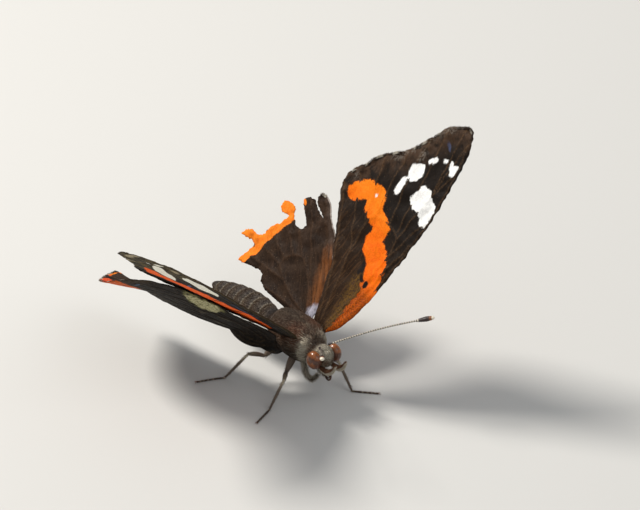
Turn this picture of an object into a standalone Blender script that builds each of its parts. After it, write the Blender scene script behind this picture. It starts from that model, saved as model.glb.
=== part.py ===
"""A red admiral butterfly, life size, standing with its wings half raised.

The body frame has its origin in the middle of the thorax: forward, left, up, in
millimetres. The floor frame is +Z up with the head towards -Y and the left side
towards +X. The body is pitched nose up by PITCH and stands BODY_HEIGHT above the
floor on four walking legs; the two brush-like forelegs are folded under the head.
The left hindwing is torn, as it is on a worn butterfly late in its season.
"""
import math

import bmesh
import bpy
from mathutils import Matrix, Vector
from mathutils.geometry import delaunay_2d_cdt

MM = 0.001

# Driving sizes, in millimetres and degrees
FOREWING_LENGTH = 30.0
HINDWING_LENGTH = 20.4
DRAWN_FOREWING = 30.0
DRAWN_HINDWING = 22.0
MEMBRANE = 0.46
VEIN_WIDTH = 0.42
VEIN_HEIGHT = 0.14
# Mesh of a wing: points nearer than SNAP are one, and fill points stand this far apart
SNAP = 0.2
FILL_ACROSS = 2.2
FILL_BACK = 1.7
GAP = 0.3
PITCH = math.radians(2)
BODY_HEIGHT = 6.2
# Puts the origin under the middle of the whole butterfly's box
BOX_SHIFT = (3.839, -2.889)

THORAX_FRONT = 4.0
THORAX_REAR = -3.6
THORAX_HALF_WIDTH = 2.85
THORAX_HALF_HEIGHT = 2.75
HEAD_FRONT = 6.55
HEAD_HALF_WIDTH = 1.5
ABDOMEN_TIP = -15.3
ABDOMEN_RADIUS = 1.95
ABDOMEN_DROOP = 1.1
SEGMENTS = 8
EYE_PLACE = (5.25, 1.42, -0.1)
EYE_RADII = (1.12, 0.8, 1.2)
ANTENNA_ROOT = (5.25, 0.62, 1.25)

# How each wing leaves the body: hinge, raise at the root, change of the raise along the
# span, sweep forward, twist and camber, found from the pose
WING_SET = {
    "forewing_left": dict(side=1, hinge=(1.5, 1.8, 1.0), raised=57.9, flare=0.0, sweep=14.3,
                          twist=0.2, camber=-0.2, span=FOREWING_LENGTH),
    "forewing_right": dict(side=-1, hinge=(1.5, -1.8, 1.0), raised=41.6, flare=-7.4, sweep=-3.4,
                           twist=10.0, camber=0.12, span=FOREWING_LENGTH, tip_twist=12.9,
                           roll=0.37),
    "hindwing_left": dict(side=1, hinge=(-1.4, 2.45, 0.0), raised=51.5, flare=0.0, sweep=-36.0,
                          twist=0.0, camber=0.0, span=HINDWING_LENGTH),
    "hindwing_right": dict(side=-1, hinge=(-1.4, -2.8, -0.6), raised=45.6, flare=-3.0, sweep=-23.0,
                           twist=24.6, camber=0.87, span=HINDWING_LENGTH, tip_twist=14.8,
                           roll=-0.37),
}

# The strip along a wing's front edge that its roll turns up: where it starts ahead of the
# hinge line, how softly it bends, and how far out from the hinge it reaches its full turn
ROLL_FROM = 1.8
ROLL_SOFTNESS = 0.6
ROLL_RISE = 8.0

# Wing outlines and veins in each wing's own plane: distance from the hinge towards the
# wing tip, and distance back from that line, in millimetres on wings of the drawn lengths
FOREWING_OUTLINE = [
    (0.3, -1.2), (2.3, -2.6), (5.3, -3.35), (8.1, -3.65), (13.1, -3.75), (16.9, -3.7), (19.5, -3.55),
    (22.8, -3.0), (26.3, -2.35), (28.8, -1.4), (29.9, -0.45), (30.0, 0.4), (29.2, 1.4), (28.2, 2.6),
    (26.5, 3.4), (24.2, 4.4), (22.4, 5.3), (21.1, 6.5), (20.0, 7.5), (18.5, 8.6), (17.2, 9.0),
    (16.3, 9.6), (15.0, 10.2), (14.0, 10.2), (12.4, 9.5), (10.5, 7.9), (9.2, 6.6), (7.8, 5.4),
    (6.4, 4.2), (4.7, 3.4), (2.6, 2.3), (0.3, 1.2),
]
FOREWING_VEINS = [
    [(1.2, -1.2), (3.0, -2.2), (5.3, -2.9), (8.1, -3.3), (13.1, -3.55), (16.9, -3.5), (19.5, -3.3),
     (22.8, -2.75), (26.3, -1.9), (28.9, -0.85)],
    [(1.2, -0.9), (4.0, -1.8), (7.0, -2.35), (11.0, -2.8), (15.4, -3.35)],
    [(1.2, -0.6), (4.0, -1.1), (8.5, -1.6), (12.5, -1.9), (16.0, -2.5), (19.0, -3.15)],
    [(12.5, -1.9), (14.6, -1.3), (18.0, -1.35), (21.0, -1.4), (25.2, -2.2)],
    [(21.0, -1.4), (24.6, -1.15), (28.6, -1.0)],
    [(21.0, -1.4), (25.0, -0.5), (29.6, 0.6)],
    [(14.8, -0.7), (19.0, 0.2), (24.0, 1.5), (28.1, 2.5)],
    [(14.9, 0.8), (18.5, 2.1), (22.5, 3.3), (25.6, 3.6)],
    [(14.2, 3.2), (17.5, 4.2), (22.4, 5.1)],
    [(12.4, 3.6), (15.6, 5.5), (19.8, 7.4)],
    [(9.0, 2.9), (12.3, 5.8), (16.4, 9.3)],
    [(1.2, 0.9), (4.0, 2.3), (8.0, 4.9), (13.7, 9.9)],
    [(1.2, 0.2), (4.0, 1.2), (9.0, 2.9), (12.4, 3.6), (14.2, 3.2), (14.9, 0.8), (14.8, -0.7),
     (14.6, -1.3)],
]
HINDWING_OUTLINE = [
    (0.3, -0.9), (2.0, -2.2), (6.0, -3.0), (12.0, -3.1), (17.6, -2.2), (20.7, -0.3), (21.6, 2.5),
    (21.5, 5.9), (20.5, 9.4), (18.8, 12.8), (16.2, 16.2), (14.0, 17.7), (12.6, 18.0), (11.2, 16.6),
    (9.2, 13.6), (6.8, 9.8), (4.6, 6.4), (2.6, 3.4), (1.1, 1.6), (0.3, 0.9),
]
# The torn left hindwing, full size: a split lobe at the front, a notch, and tatters of the
# orange border left along the tear
TORN_OUTLINE = [
    (0.3, -0.9), (1.4, -1.8), (3.4, -2.5), (6.2, -3.2), (7.9, -3.5), (9.8, -3.4), (11.3, -3.1),
    (12.8, -2.8), (14.2, -2.4), (15.1, -1.5), (14.9, -0.8), (14.3, -0.75), (12.0, -1.8),
    (12.6, -1.1), (14.4, -0.1), (15.0, 0.8), (14.8, 1.3), (13.8, 1.3), (12.6, 1.0), (11.8, 0.9),
    (11.4, 1.4), (11.7, 2.0), (12.3, 2.3), (13.3, 2.5), (14.1, 2.4), (14.8, 3.2), (15.1, 4.1),
    (14.4, 4.6), (13.8, 4.2), (13.3, 3.5), (12.8, 3.9), (12.6, 5.0), (12.1, 5.9), (11.6, 6.7),
    (11.6, 7.6), (12.3, 8.3), (12.5, 9.4), (12.1, 10.0), (11.5, 9.0), (10.8, 8.2), (10.2, 8.7),
    (9.7, 9.6), (9.1, 10.2), (8.6, 9.5), (7.6, 7.6), (6.9, 6.8), (5.5, 6.6), (3.8, 5.0),
    (2.3, 3.2), (1.0, 2.0), (0.3, 1.0),
]
HINDWING_VEINS = [
    [(1.2, -0.8), (4.0, -1.9), (10.0, -2.4), (15.8, -2.1), (19.9, -0.9)],
    [(1.2, -0.1), (4.5, -0.3), (10.0, -0.3), (16.0, 0.2), (21.2, 1.2)],
    [(8.5, 1.0), (14.0, 2.2), (21.5, 4.2)],
    [(9.0, 2.4), (14.0, 4.1), (21.1, 7.2)],
    [(8.8, 3.8), (13.0, 6.3), (19.9, 10.4)],
    [(8.0, 4.4), (12.0, 8.2), (18.2, 13.8)],
    [(6.0, 3.7), (9.5, 8.5), (15.2, 16.6)],
    [(1.2, 0.9), (4.0, 4.4), (8.0, 10.2), (12.5, 17.2)],
    [(4.5, -0.3), (7.0, 0.3), (8.5, 1.0), (9.0, 2.4), (8.8, 3.8), (8.0, 4.4), (6.0, 3.7),
     (3.2, 2.0), (1.2, 0.3)],
]

# Each walking leg: hip, knee, ankle and foot in the floor frame measured from the point
# of the floor below the thorax: forward, left, height
LEG_PATHS = {
    "leg_mid_left": [(1.2, 1.2, 3.6), (1.9, 2.6, 3.3), (3.9, 3.3, 3.5), (5.2, 3.9, 0.75),
                     (5.6, 4.1, 0.25), (6.5, 5.1, 0.25), (7.6, 6.3, 0.25)],
    "leg_mid_right": [(1.2, -1.2, 3.6), (1.9, -2.6, 3.2), (3.2, -3.9, 3.4), (3.3, -5.6, 0.75),
                      (3.4, -6.0, 0.25), (3.9, -7.1, 0.25), (4.6, -8.6, 0.25)],
    "leg_hind_left": [(-1.7, 1.2, 3.4), (-2.1, 2.6, 3.1), (-3.4, 4.6, 3.5), (-4.8, 6.2, 0.8),
                      (-5.0, 6.5, 0.25), (-5.8, 7.4, 0.25), (-7.4, 8.8, 0.25)],
    "leg_hind_right": [(-1.7, -1.2, 3.4), (-2.1, -2.6, 3.1), (-3.0, -4.3, 3.5), (-4.3, -6.0, 0.8),
                       (-4.5, -6.3, 0.25), (-5.0, -7.4, 0.25), (-5.6, -9.4, 0.25)],
}
LEG_RADII = [0.36, 0.36, 0.3, 0.27, 0.27, 0.27, 0.25]
FORELEG_PATH = [(2.7, 0.75, -2.1), (3.3, 0.95, -3.05), (4.3, 0.95, -3.25), (5.0, 0.8, -2.6)]
FORELEG_RADII = [0.36, 0.36, 0.3, 0.25]
ANTENNA_LENGTH = 12.8
ANTENNA_POINTING = {"antenna_left": (8.2, 8.6, 4.7), "antenna_right": (8.98, -6.47, 6.8)}
PALP_PATH = [(5.9, 0.78, -1.35), (6.9, 0.8, -1.15), (7.6, 0.8, -0.55), (7.95, 0.78, 0.2)]
PALP_RADII = [0.36, 0.42, 0.36, 0.25]
TONGUE_MIDDLE = (6.1, -2.55)
TONGUE_START = math.radians(110)
TONGUE_TURNS = 1.35
TONGUE_OUTER = 0.95
TONGUE_INNER = 0.33

COLOURS = {
    "dark_wing": ((0.030, 0.020, 0.016, 1), 0.7),
    "body_fur": ((0.115, 0.085, 0.070, 1), 0.9),
    "eye_brown": ((0.22, 0.07, 0.02, 1), 0.25),
    "dark_horn": ((0.035, 0.022, 0.016, 1), 0.55),
    "palp_scales": ((0.30, 0.16, 0.09, 1), 0.8),
}


def body_to_floor(forward, left, up):
    """A point of the body frame in the floor frame."""
    level = forward * math.cos(PITCH) - up * math.sin(PITCH)
    height = forward * math.sin(PITCH) + up * math.cos(PITCH)
    return Vector((left, -level, height + BODY_HEIGHT))


def floor_point(forward, left, height):
    return Vector((left, -forward, height))


def mirrored(points, side):
    return [(forward, left * side, up) for forward, left, up in points]


def smooth_line(points, steps, closed=False):
    """A Catmull-Rom curve through the points, with a number of steps from one to the next."""
    points = [Vector(point) for point in points]
    count = len(points)
    spans = count if closed else count - 1
    line = []
    for index in range(spans):
        if closed:
            a, b, c, d = (points[(index + offset) % count] for offset in (-1, 0, 1, 2))
        else:
            a = points[max(index - 1, 0)]
            b = points[index]
            c = points[index + 1]
            d = points[min(index + 2, count - 1)]
        for step in range(steps):
            t = step / steps
            line.append(0.5 * (2 * b + (c - a) * t + (2 * a - 5 * b + 4 * c - d) * t ** 2
                               + (3 * b - a - 3 * c + d) * t ** 3))
    if not closed:
        line.append(points[-1])
    return line


def new_object(name, verts, faces):
    mesh = bpy.data.meshes.new(name)
    mesh.from_pydata([tuple(vert) for vert in verts], [], faces)
    bm = bmesh.new()
    bm.from_mesh(mesh)
    bmesh.ops.recalc_face_normals(bm, faces=bm.faces)
    if bm.calc_volume(signed=True) < 0:
        bmesh.ops.reverse_faces(bm, faces=bm.faces)
    bm.to_mesh(mesh)
    bm.free()
    obj = bpy.data.objects.new(name, mesh)
    bpy.context.scene.collection.objects.link(obj)
    return obj


def skinned_rings(name, rings):
    """One closed body through rings of points, with a point closing each end."""
    count = len(rings[0])
    verts = [point for ring in rings for point in ring]
    faces = []
    for row in range(len(rings) - 1):
        for col in range(count):
            nxt = (col + 1) % count
            here = row * count
            ahead = here + count
            faces.append((here + col, here + nxt, ahead + nxt, ahead + col))
    for row in (0, len(rings) - 1):
        middle = sum((Vector(point) for point in rings[row]), Vector()) / count
        verts.append(middle)
        for col in range(count):
            faces.append((row * count + col, row * count + (col + 1) % count, len(verts) - 1))
    return new_object(name, verts, faces)


def body_ring(forward, centre_up, half_width, half_height, count, flat_below=0.0):
    """A ring across the body, a little flatter below where asked."""
    ring = []
    for index in range(count):
        angle = math.tau * index / count
        up = half_height * math.cos(angle)
        if up < 0:
            up *= 1 - flat_below
        ring.append(body_to_floor(forward, half_width * math.sin(angle), centre_up + up))
    return ring


def tube(name, points, radii, sides=8):
    """A limb through points of the floor frame, upright enough that a level run has a flat sole."""
    points = [Vector(point) for point in points]
    reach = points[-1] - points[0]
    across = Vector((0, 0, 1)).cross(Vector((reach.x, reach.y, 0))).normalized()
    rings = []
    for index, (point, radius) in enumerate(zip(points, radii)):
        ahead = points[min(index + 1, len(points) - 1)] - point
        behind = point - points[max(index - 1, 0)]
        tangent = (ahead.normalized() + behind.normalized()).normalized()
        side = (across - across.dot(tangent) * tangent).normalized()
        normal = side.cross(tangent)
        ring = []
        for step in range(sides):
            angle = math.tau * (step + 0.5) / sides
            ring.append(point + radius * (math.cos(angle) * normal + math.sin(angle) * side))
        rings.append(ring)
    return skinned_rings(name, rings)


def applied(obj):
    """The object with its modifiers made part of its mesh."""
    depsgraph = bpy.context.evaluated_depsgraph_get()
    mesh = bpy.data.meshes.new_from_object(obj.evaluated_get(depsgraph))
    obj.modifiers.clear()
    obj.data = mesh


def keep_largest(obj):
    """Drops every loose scrap, so that one closed body is left."""
    bm = bmesh.new()
    bm.from_mesh(obj.data)
    left = set(bm.faces)
    groups = []
    while left:
        stack = [left.pop()]
        group = set(stack)
        while stack:
            face = stack.pop()
            for edge in face.edges:
                for other in edge.link_faces:
                    if other in left:
                        left.remove(other)
                        group.add(other)
                        stack.append(other)
        groups.append(group)
    groups.sort(key=len)
    for group in groups[:-1]:
        bmesh.ops.delete(bm, geom=list(group), context="FACES")
    bmesh.ops.triangulate(bm, faces=bm.faces)
    bm.to_mesh(obj.data)
    bm.free()


def cut_clear(obj, other, gap=GAP):
    """Cuts the object back from another by a gap all round."""
    bm = bmesh.new()
    bm.from_mesh(other.data)
    bm.normal_update()
    moved = [vert.co + vert.normal * gap for vert in bm.verts]
    for vert, place in zip(bm.verts, moved):
        vert.co = place
    mesh = bpy.data.meshes.new("cutter")
    bm.to_mesh(mesh)
    bm.free()
    cutter = bpy.data.objects.new("cutter", mesh)
    bpy.context.scene.collection.objects.link(cutter)
    modifier = obj.modifiers.new("clearance", "BOOLEAN")
    modifier.operation = "DIFFERENCE"
    modifier.solver = "EXACT"
    modifier.object = cutter
    applied(obj)
    bpy.data.objects.remove(cutter)
    keep_largest(obj)


def wing_surface(side, hinge, raised, flare, sweep, twist, camber, span, tip_twist=0.0, roll=0.0):
    """The wing's middle surface: a function from its own plane to the body frame.

    raised is the wing's angle above level at the root, flare the change of that angle over
    the span; sweep turns the wing forward, twist lifts its front edge, camber bows it, and
    tip_twist lifts the front edge further over the outer half, and roll turns up the strip
    along the front edge."""
    start = math.radians(raised)
    bend = math.radians(flare if abs(flare) > 0.01 else 0.01) / span
    swept = math.radians(sweep)
    twisted = math.radians(twist)
    outer_twist = math.sin(math.radians(tip_twist))

    def surface(along, back):
        out = along * math.cos(swept) + back * math.sin(swept)
        ahead = along * math.sin(swept) - back * math.cos(swept)
        angle = start + bend * out
        left = (math.sin(angle) - math.sin(start)) / bend
        up = (math.cos(start) - math.cos(angle)) / bend
        lift = ahead * math.sin(twisted) + camber * (ahead / 10) ** 2
        outer = max(0.0, min(1.0, (out / span - 0.43) / 0.4))
        lift += outer_twist * outer * (ahead + 0.2 * span)
        past = -back - ROLL_FROM
        lift += roll * (math.hypot(past, ROLL_SOFTNESS) + past) / 2 * max(0.0, min(1.0, out / ROLL_RISE))
        left -= math.sin(angle) * lift
        up += math.cos(angle) * lift
        return Vector((hinge[0] + ahead * math.cos(twisted), hinge[1] + side * left, hinge[2] + up))

    return surface


def wing_point(surface, side, along, back, height):
    """A point at a height over the wing's upper side, in the floor frame."""
    step = 0.05
    point = surface(along, back)
    outward = surface(along + step, back) - point
    rearward = surface(along, back + step) - point
    normal = outward.cross(rearward).normalized() * side
    place = point + normal * height
    return body_to_floor(*place)


def scaled(points, factor):
    return [(along * factor, back * factor) for along, back in points]


def distance_to_line(point, line):
    nearest = 1e9
    for start, end in zip(line, line[1:]):
        along = end - start
        t = max(0.0, min(1.0, (point - start).dot(along) / along.length_squared))
        nearest = min(nearest, (point - start - along * t).length)
    return nearest


def wing(name, outline, veins):
    """A wing of even thickness whose main veins are ridges of its own upper and lower faces."""
    settings = WING_SET[name]
    surface = wing_surface(**settings)
    side = settings["side"]
    edge_line = [point.to_2d() for point in smooth_line([(*p, 0) for p in outline], 2, closed=True)]
    vein_lines = [[point.to_2d() for point in smooth_line([(*p, 0) for p in vein], 2)] for vein in veins]
    coords = list(edge_line)
    edges = [(index, (index + 1) % len(edge_line)) for index in range(len(edge_line))]

    def index_of(point):
        for index, other in enumerate(coords):
            if (other - point).length < SNAP:
                return index
        coords.append(point)
        return len(coords) - 1

    def add_line(line):
        indices = [index_of(point) for point in line]
        for a, b in zip(indices, indices[1:]):
            if a != b and (a, b) not in edges and (b, a) not in edges:
                edges.append((a, b))

    for line in vein_lines:
        add_line(line)
    for line in vein_lines:
        for offset in (-VEIN_WIDTH, VEIN_WIDTH):
            shifted = []
            for index, point in enumerate(line):
                ahead = line[min(index + 1, len(line) - 1)] - line[max(index - 1, 0)]
                across = Vector((-ahead.y, ahead.x)).normalized()
                shifted.append(point + across * offset)
            add_line(shifted)
    for row in range(-3, 14):
        for col in range(1, 16):
            point = Vector(((col + (row % 2) / 2) * FILL_ACROSS, row * FILL_BACK))
            if min(distance_to_line(point, line) for line in vein_lines) > 2.2 * VEIN_WIDTH:
                if distance_to_line(point, edge_line + edge_line[:1]) > 0.7:
                    index_of(point)
    flat, _, triangles, *_ = delaunay_2d_cdt(coords, edges, [], 1, 1e-4)
    used = sorted({index for triangle in triangles for index in triangle})
    rank = {index: place for place, index in enumerate(used)}
    triangles = [tuple(rank[index] for index in triangle) for triangle in triangles]
    upper = []
    lower = []
    for index in used:
        point = flat[index]
        near = min(distance_to_line(point, line) for line in vein_lines)
        half = MEMBRANE / 2 + VEIN_HEIGHT * max(0.0, 1 - near / VEIN_WIDTH)
        upper.append(wing_point(surface, side, point.x, point.y, half))
        lower.append(wing_point(surface, side, point.x, point.y, -half))
    count = len(used)
    faces = list(triangles)
    faces += [tuple(index + count for index in reversed(triangle)) for triangle in triangles]
    borders = {}
    for triangle in triangles:
        for a, b in zip(triangle, triangle[1:] + triangle[:1]):
            if (b, a) in borders:
                del borders[(b, a)]
            else:
                borders[(a, b)] = True
    for a, b in borders:
        faces.append((b, a, a + count))
        faces.append((b, a + count, b + count))
    return new_object(name, upper + lower, faces)


def thorax():
    """The thorax: a deep oval with flat ends where head and abdomen meet it."""
    rings = []
    steps = 12
    for index in range(steps + 1):
        t = index / steps
        forward = THORAX_FRONT + (THORAX_REAR - THORAX_FRONT) * t
        swell = math.sin(math.pi * (0.16 + 0.68 * t)) ** 0.8
        hump = 0.25 * math.sin(math.pi * t)
        rings.append(body_ring(forward, hump * 0.4, THORAX_HALF_WIDTH * swell,
                               THORAX_HALF_HEIGHT * swell + hump * 0.4, 18))
    return skinned_rings("thorax", rings)


def head():
    """The head between the eyes, with a flat back that meets the thorax."""
    rings = []
    rear = THORAX_FRONT + GAP
    steps = 9
    for index in range(steps + 1):
        t = index / steps
        forward = rear + (HEAD_FRONT - rear) * t
        swell = math.sqrt(max(0.02, 1 - (abs(t - 0.42) / 0.6) ** 2.2))
        rings.append(body_ring(forward, -0.1, HEAD_HALF_WIDTH * swell, 1.5 * swell, 16))
    return skinned_rings("head", rings)


def abdomen():
    """The abdomen: eight rings, each a little wider at its rear edge, and a blunt tip."""
    rings = []
    front = THORAX_REAR - GAP
    length = front - ABDOMEN_TIP
    for segment in range(SEGMENTS):
        for part in (0.0, 0.5, 0.92):
            t = (segment + part) / SEGMENTS
            waist = 0.62 + 0.38 * math.sin(math.pi * min(t / 0.42, 1) / 2)
            tail = math.sqrt(max(0.0, 1 - (max(t - 0.42, 0) / 0.62) ** 2.2))
            radius = ABDOMEN_RADIUS * waist * tail * (0.955 + 0.045 * part / 0.92)
            droop = -ABDOMEN_DROOP * t ** 1.6
            rings.append(body_ring(front - length * t, droop, radius, radius * 0.95, 16))
    rings.append(body_ring(ABDOMEN_TIP, -ABDOMEN_DROOP, 0.35, 0.35, 16))
    return skinned_rings("abdomen", rings)


def eye(name, side):
    """One compound eye, an oval dome."""
    rings = []
    steps = 8
    forward, left, up = EYE_PLACE
    for index in range(1, steps):
        polar = math.pi * index / steps
        ring = []
        for col in range(14):
            angle = math.tau * col / 14
            ring.append(body_to_floor(forward + EYE_RADII[0] * math.sin(polar) * math.cos(angle),
                                      side * (left + EYE_RADII[1] * math.cos(polar)),
                                      up + EYE_RADII[2] * math.sin(polar) * math.sin(angle)))
        rings.append(ring)
    obj = skinned_rings(name, rings)
    poles = obj.data.vertices[-2:]
    for pole, reach in zip(poles, (EYE_RADII[1], -EYE_RADII[1])):
        pole.co = body_to_floor(forward, side * (left + reach), up)
    return obj


def antenna(name):
    """A thin feeler that ends in a knob, a little thicker than life so that it holds."""
    pointing = Vector(ANTENNA_POINTING[name]).normalized()
    side = 1 if pointing.y > 0 else -1
    root = Vector((ANTENNA_ROOT[0], ANTENNA_ROOT[1] * side, ANTENNA_ROOT[2]))
    points = []
    radii = []
    steps = 14
    for index in range(steps + 1):
        t = index / steps
        sag = 0.35 * math.sin(math.pi * t)
        place = root + pointing * (ANTENNA_LENGTH * t) + Vector((0, 0, sag))
        points.append(body_to_floor(*place))
        knob = max(0.0, 1 - abs(t - 0.91) / 0.11)
        radii.append(0.25 + 0.22 * knob ** 0.7 - (0.08 if index == steps else 0.0))
    return tube(name, points, radii)


def limb(name, path, radii):
    """A leg in the floor frame, as a smooth tube through its joints."""
    points = [floor_point(*point) for point in path]
    line = []
    thick = []
    for index in range(len(points) - 1):
        for step in range(3):
            t = step / 3
            line.append(points[index].lerp(points[index + 1], t))
            thick.append(radii[index] + (radii[index + 1] - radii[index]) * t)
    line.append(points[-1])
    thick.append(radii[-1])
    obj = tube(name, line, thick)
    for vert in obj.data.vertices:
        vert.co.z = max(vert.co.z, 0.0)
    return obj


def body_tube(name, path, radii, side):
    points = [body_to_floor(*point) for point in smooth_line(mirrored(path, side), 2)]
    thick = []
    for index in range(len(radii) - 1):
        thick += [radii[index], (radii[index] + radii[index + 1]) / 2]
    thick.append(radii[-1])
    return tube(name, points, thick)


def proboscis():
    """The tongue, coiled under the head between the palps."""
    points = []
    radii = []
    steps = 16
    middle_forward, middle_up = TONGUE_MIDDLE
    for index in range(steps + 1):
        t = index / steps
        angle = TONGUE_START - math.tau * TONGUE_TURNS * t
        reach = TONGUE_OUTER + (TONGUE_INNER - TONGUE_OUTER) * t
        points.append(body_to_floor(middle_forward + reach * math.cos(angle), 0.0,
                                    middle_up + reach * math.sin(angle)))
        radii.append(0.17 - 0.05 * t)
    rings = []
    left = Vector((1, 0, 0))
    for index, point in enumerate(points):
        ahead = (points[min(index + 1, steps)] - points[max(index - 1, 0)]).normalized()
        normal = left.cross(ahead)
        rings.append([point + radii[index] * (math.cos(a) * normal + math.sin(a) * left)
                      for a in (math.tau * step / 6 for step in range(6))])
    return skinned_rings("proboscis", rings)


def finish(obj, colour, origin=None):
    """Gives the object its material, its size in metres and its own origin."""
    base, rough = COLOURS[colour]
    material = bpy.data.materials.get(colour) or bpy.data.materials.new(colour)
    material.use_nodes = True
    shader = material.node_tree.nodes["Principled BSDF"]
    shader.inputs["Base Color"].default_value = base
    shader.inputs["Roughness"].default_value = rough
    obj.data.materials.clear()
    obj.data.materials.append(material)
    shift = Vector((BOX_SHIFT[0], BOX_SHIFT[1], 0))
    obj.data.transform(Matrix.Scale(MM, 4) @ Matrix.Translation(shift))
    if origin is not None:
        place = (origin + shift) * MM
        obj.data.transform(Matrix.Translation(-place))
        obj.location = place
    obj.data.shade_smooth()
    obj.data.set_sharp_from_angle(angle=math.radians(40))


def build():
    for obj in list(bpy.data.objects):
        bpy.data.objects.remove(obj)

    trunk = thorax()
    skull = head()
    belly = abdomen()
    eyes = {}
    for name, side in (("eye_left", 1), ("eye_right", -1)):
        eyes[name] = eye(name, side)
    for obj in eyes.values():
        cut_clear(skull, obj, 0.2)
    for name, obj in eyes.items():
        side = 1 if name == "eye_left" else -1
        finish(obj, "eye_brown", body_to_floor(EYE_PLACE[0], EYE_PLACE[1] * side, EYE_PLACE[2]))

    for name in ANTENNA_POINTING:
        obj = antenna(name)
        cut_clear(obj, skull)
        finish(obj, "dark_horn")
    for name, side in (("palp_left", 1), ("palp_right", -1)):
        obj = body_tube(name, PALP_PATH, PALP_RADII, side)
        cut_clear(obj, skull)
        finish(obj, "palp_scales")
    tongue = proboscis()
    cut_clear(tongue, skull)
    finish(tongue, "dark_horn")

    for name, side in (("foreleg_left", 1), ("foreleg_right", -1)):
        obj = body_tube(name, FORELEG_PATH, FORELEG_RADII, side)
        cut_clear(obj, trunk)
        finish(obj, "dark_horn")
    for name, path in LEG_PATHS.items():
        obj = limb(name, path, LEG_RADII)
        cut_clear(obj, trunk)
        finish(obj, "dark_horn", floor_point(*path[0]))

    fore = FOREWING_LENGTH / DRAWN_FOREWING
    hind = HINDWING_LENGTH / DRAWN_HINDWING
    fore_veins = [scaled(vein, fore) for vein in FOREWING_VEINS]
    hind_veins = [scaled(vein, hind) for vein in HINDWING_VEINS]
    shapes = {
        "forewing_left": (scaled(FOREWING_OUTLINE, fore), fore_veins),
        "forewing_right": (scaled(FOREWING_OUTLINE, fore), fore_veins),
        "hindwing_left": (TORN_OUTLINE, hind_veins),
        "hindwing_right": (scaled(HINDWING_OUTLINE, hind), hind_veins),
    }
    for name, (outline, veins) in shapes.items():
        obj = wing(name, outline, veins)
        cut_clear(obj, trunk)
        finish(obj, "dark_wing", body_to_floor(*WING_SET[name]["hinge"]))

    finish(trunk, "body_fur", body_to_floor(0, 0, 0))
    finish(skull, "body_fur", body_to_floor(THORAX_FRONT, 0, 0))
    finish(belly, "body_fur", body_to_floor(THORAX_REAR, 0, 0))


build()
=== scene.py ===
import math

import bpy
import numpy as np
from mathutils import Matrix, Vector, noise
from mathutils.geometry import delaunay_2d_cdt


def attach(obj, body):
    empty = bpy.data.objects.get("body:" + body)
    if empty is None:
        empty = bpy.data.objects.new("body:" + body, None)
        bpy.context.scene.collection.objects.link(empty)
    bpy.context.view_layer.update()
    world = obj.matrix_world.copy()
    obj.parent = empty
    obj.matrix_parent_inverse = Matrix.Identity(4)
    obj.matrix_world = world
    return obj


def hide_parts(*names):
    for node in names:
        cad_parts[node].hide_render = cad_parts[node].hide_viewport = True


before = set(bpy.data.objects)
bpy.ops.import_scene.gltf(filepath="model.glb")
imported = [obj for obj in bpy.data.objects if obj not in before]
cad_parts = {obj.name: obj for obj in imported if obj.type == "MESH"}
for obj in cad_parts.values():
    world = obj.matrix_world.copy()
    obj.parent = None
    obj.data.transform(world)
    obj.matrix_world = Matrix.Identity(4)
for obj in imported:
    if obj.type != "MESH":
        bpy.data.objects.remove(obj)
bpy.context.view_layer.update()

# Pose and sizes, as in the solids
MM = 0.001
PITCH = math.radians(2)
BODY_HEIGHT = 6.2
BOX_SHIFT = (3.839, -2.889)
FOREWING_LENGTH = 30.0
HINDWING_LENGTH = 20.4
DRAWN_HINDWING = 22.0
ABDOMEN_FRONT = -3.9
ABDOMEN_TIP = -15.3
SEGMENTS = 8
EYE_PLACE = (5.25, 1.42, -0.1)
EYE_RADII = (1.04, 0.78, 1.1)
ANTENNA_ROOT = (5.25, 0.62, 1.25)
ANTENNA_LENGTH = 12.8
ANTENNA_POINTING = {"left": (8.2, 8.6, 4.7), "right": (9.2, -6.85, 5.87)}
PALP_PATH = [(5.7, 0.76, -1.15), (6.9, 0.78, -1.1), (7.8, 0.76, -0.5), (8.25, 0.74, 0.25)]
FORELEG_PATH = [(2.5, 0.7, -1.5), (2.7, 0.75, -2.1), (3.3, 0.95, -3.05), (4.3, 0.95, -3.25),
                (5.0, 0.8, -2.6)]
TONGUE_MIDDLE = (6.0, -2.25)

# Finer bends of the wings. The outer part twists from TIP_FROM of the span on, in full after
# TIP_REACH more. The front edge rolls from ROLL_FROM in front of the hinge's line, in full
# ROLL_RISE out. A hindwing's inner part folds from FOLD_FROM back, as far out as FOLD_REACH
TIP_FROM = 0.43
TIP_REACH = 0.4
ROLL_FROM = 1.8
ROLL_SOFTNESS = 0.6
ROLL_RISE = 8.0
FOLD_FROM = -0.5
FOLD_REACH = 3.4

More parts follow.
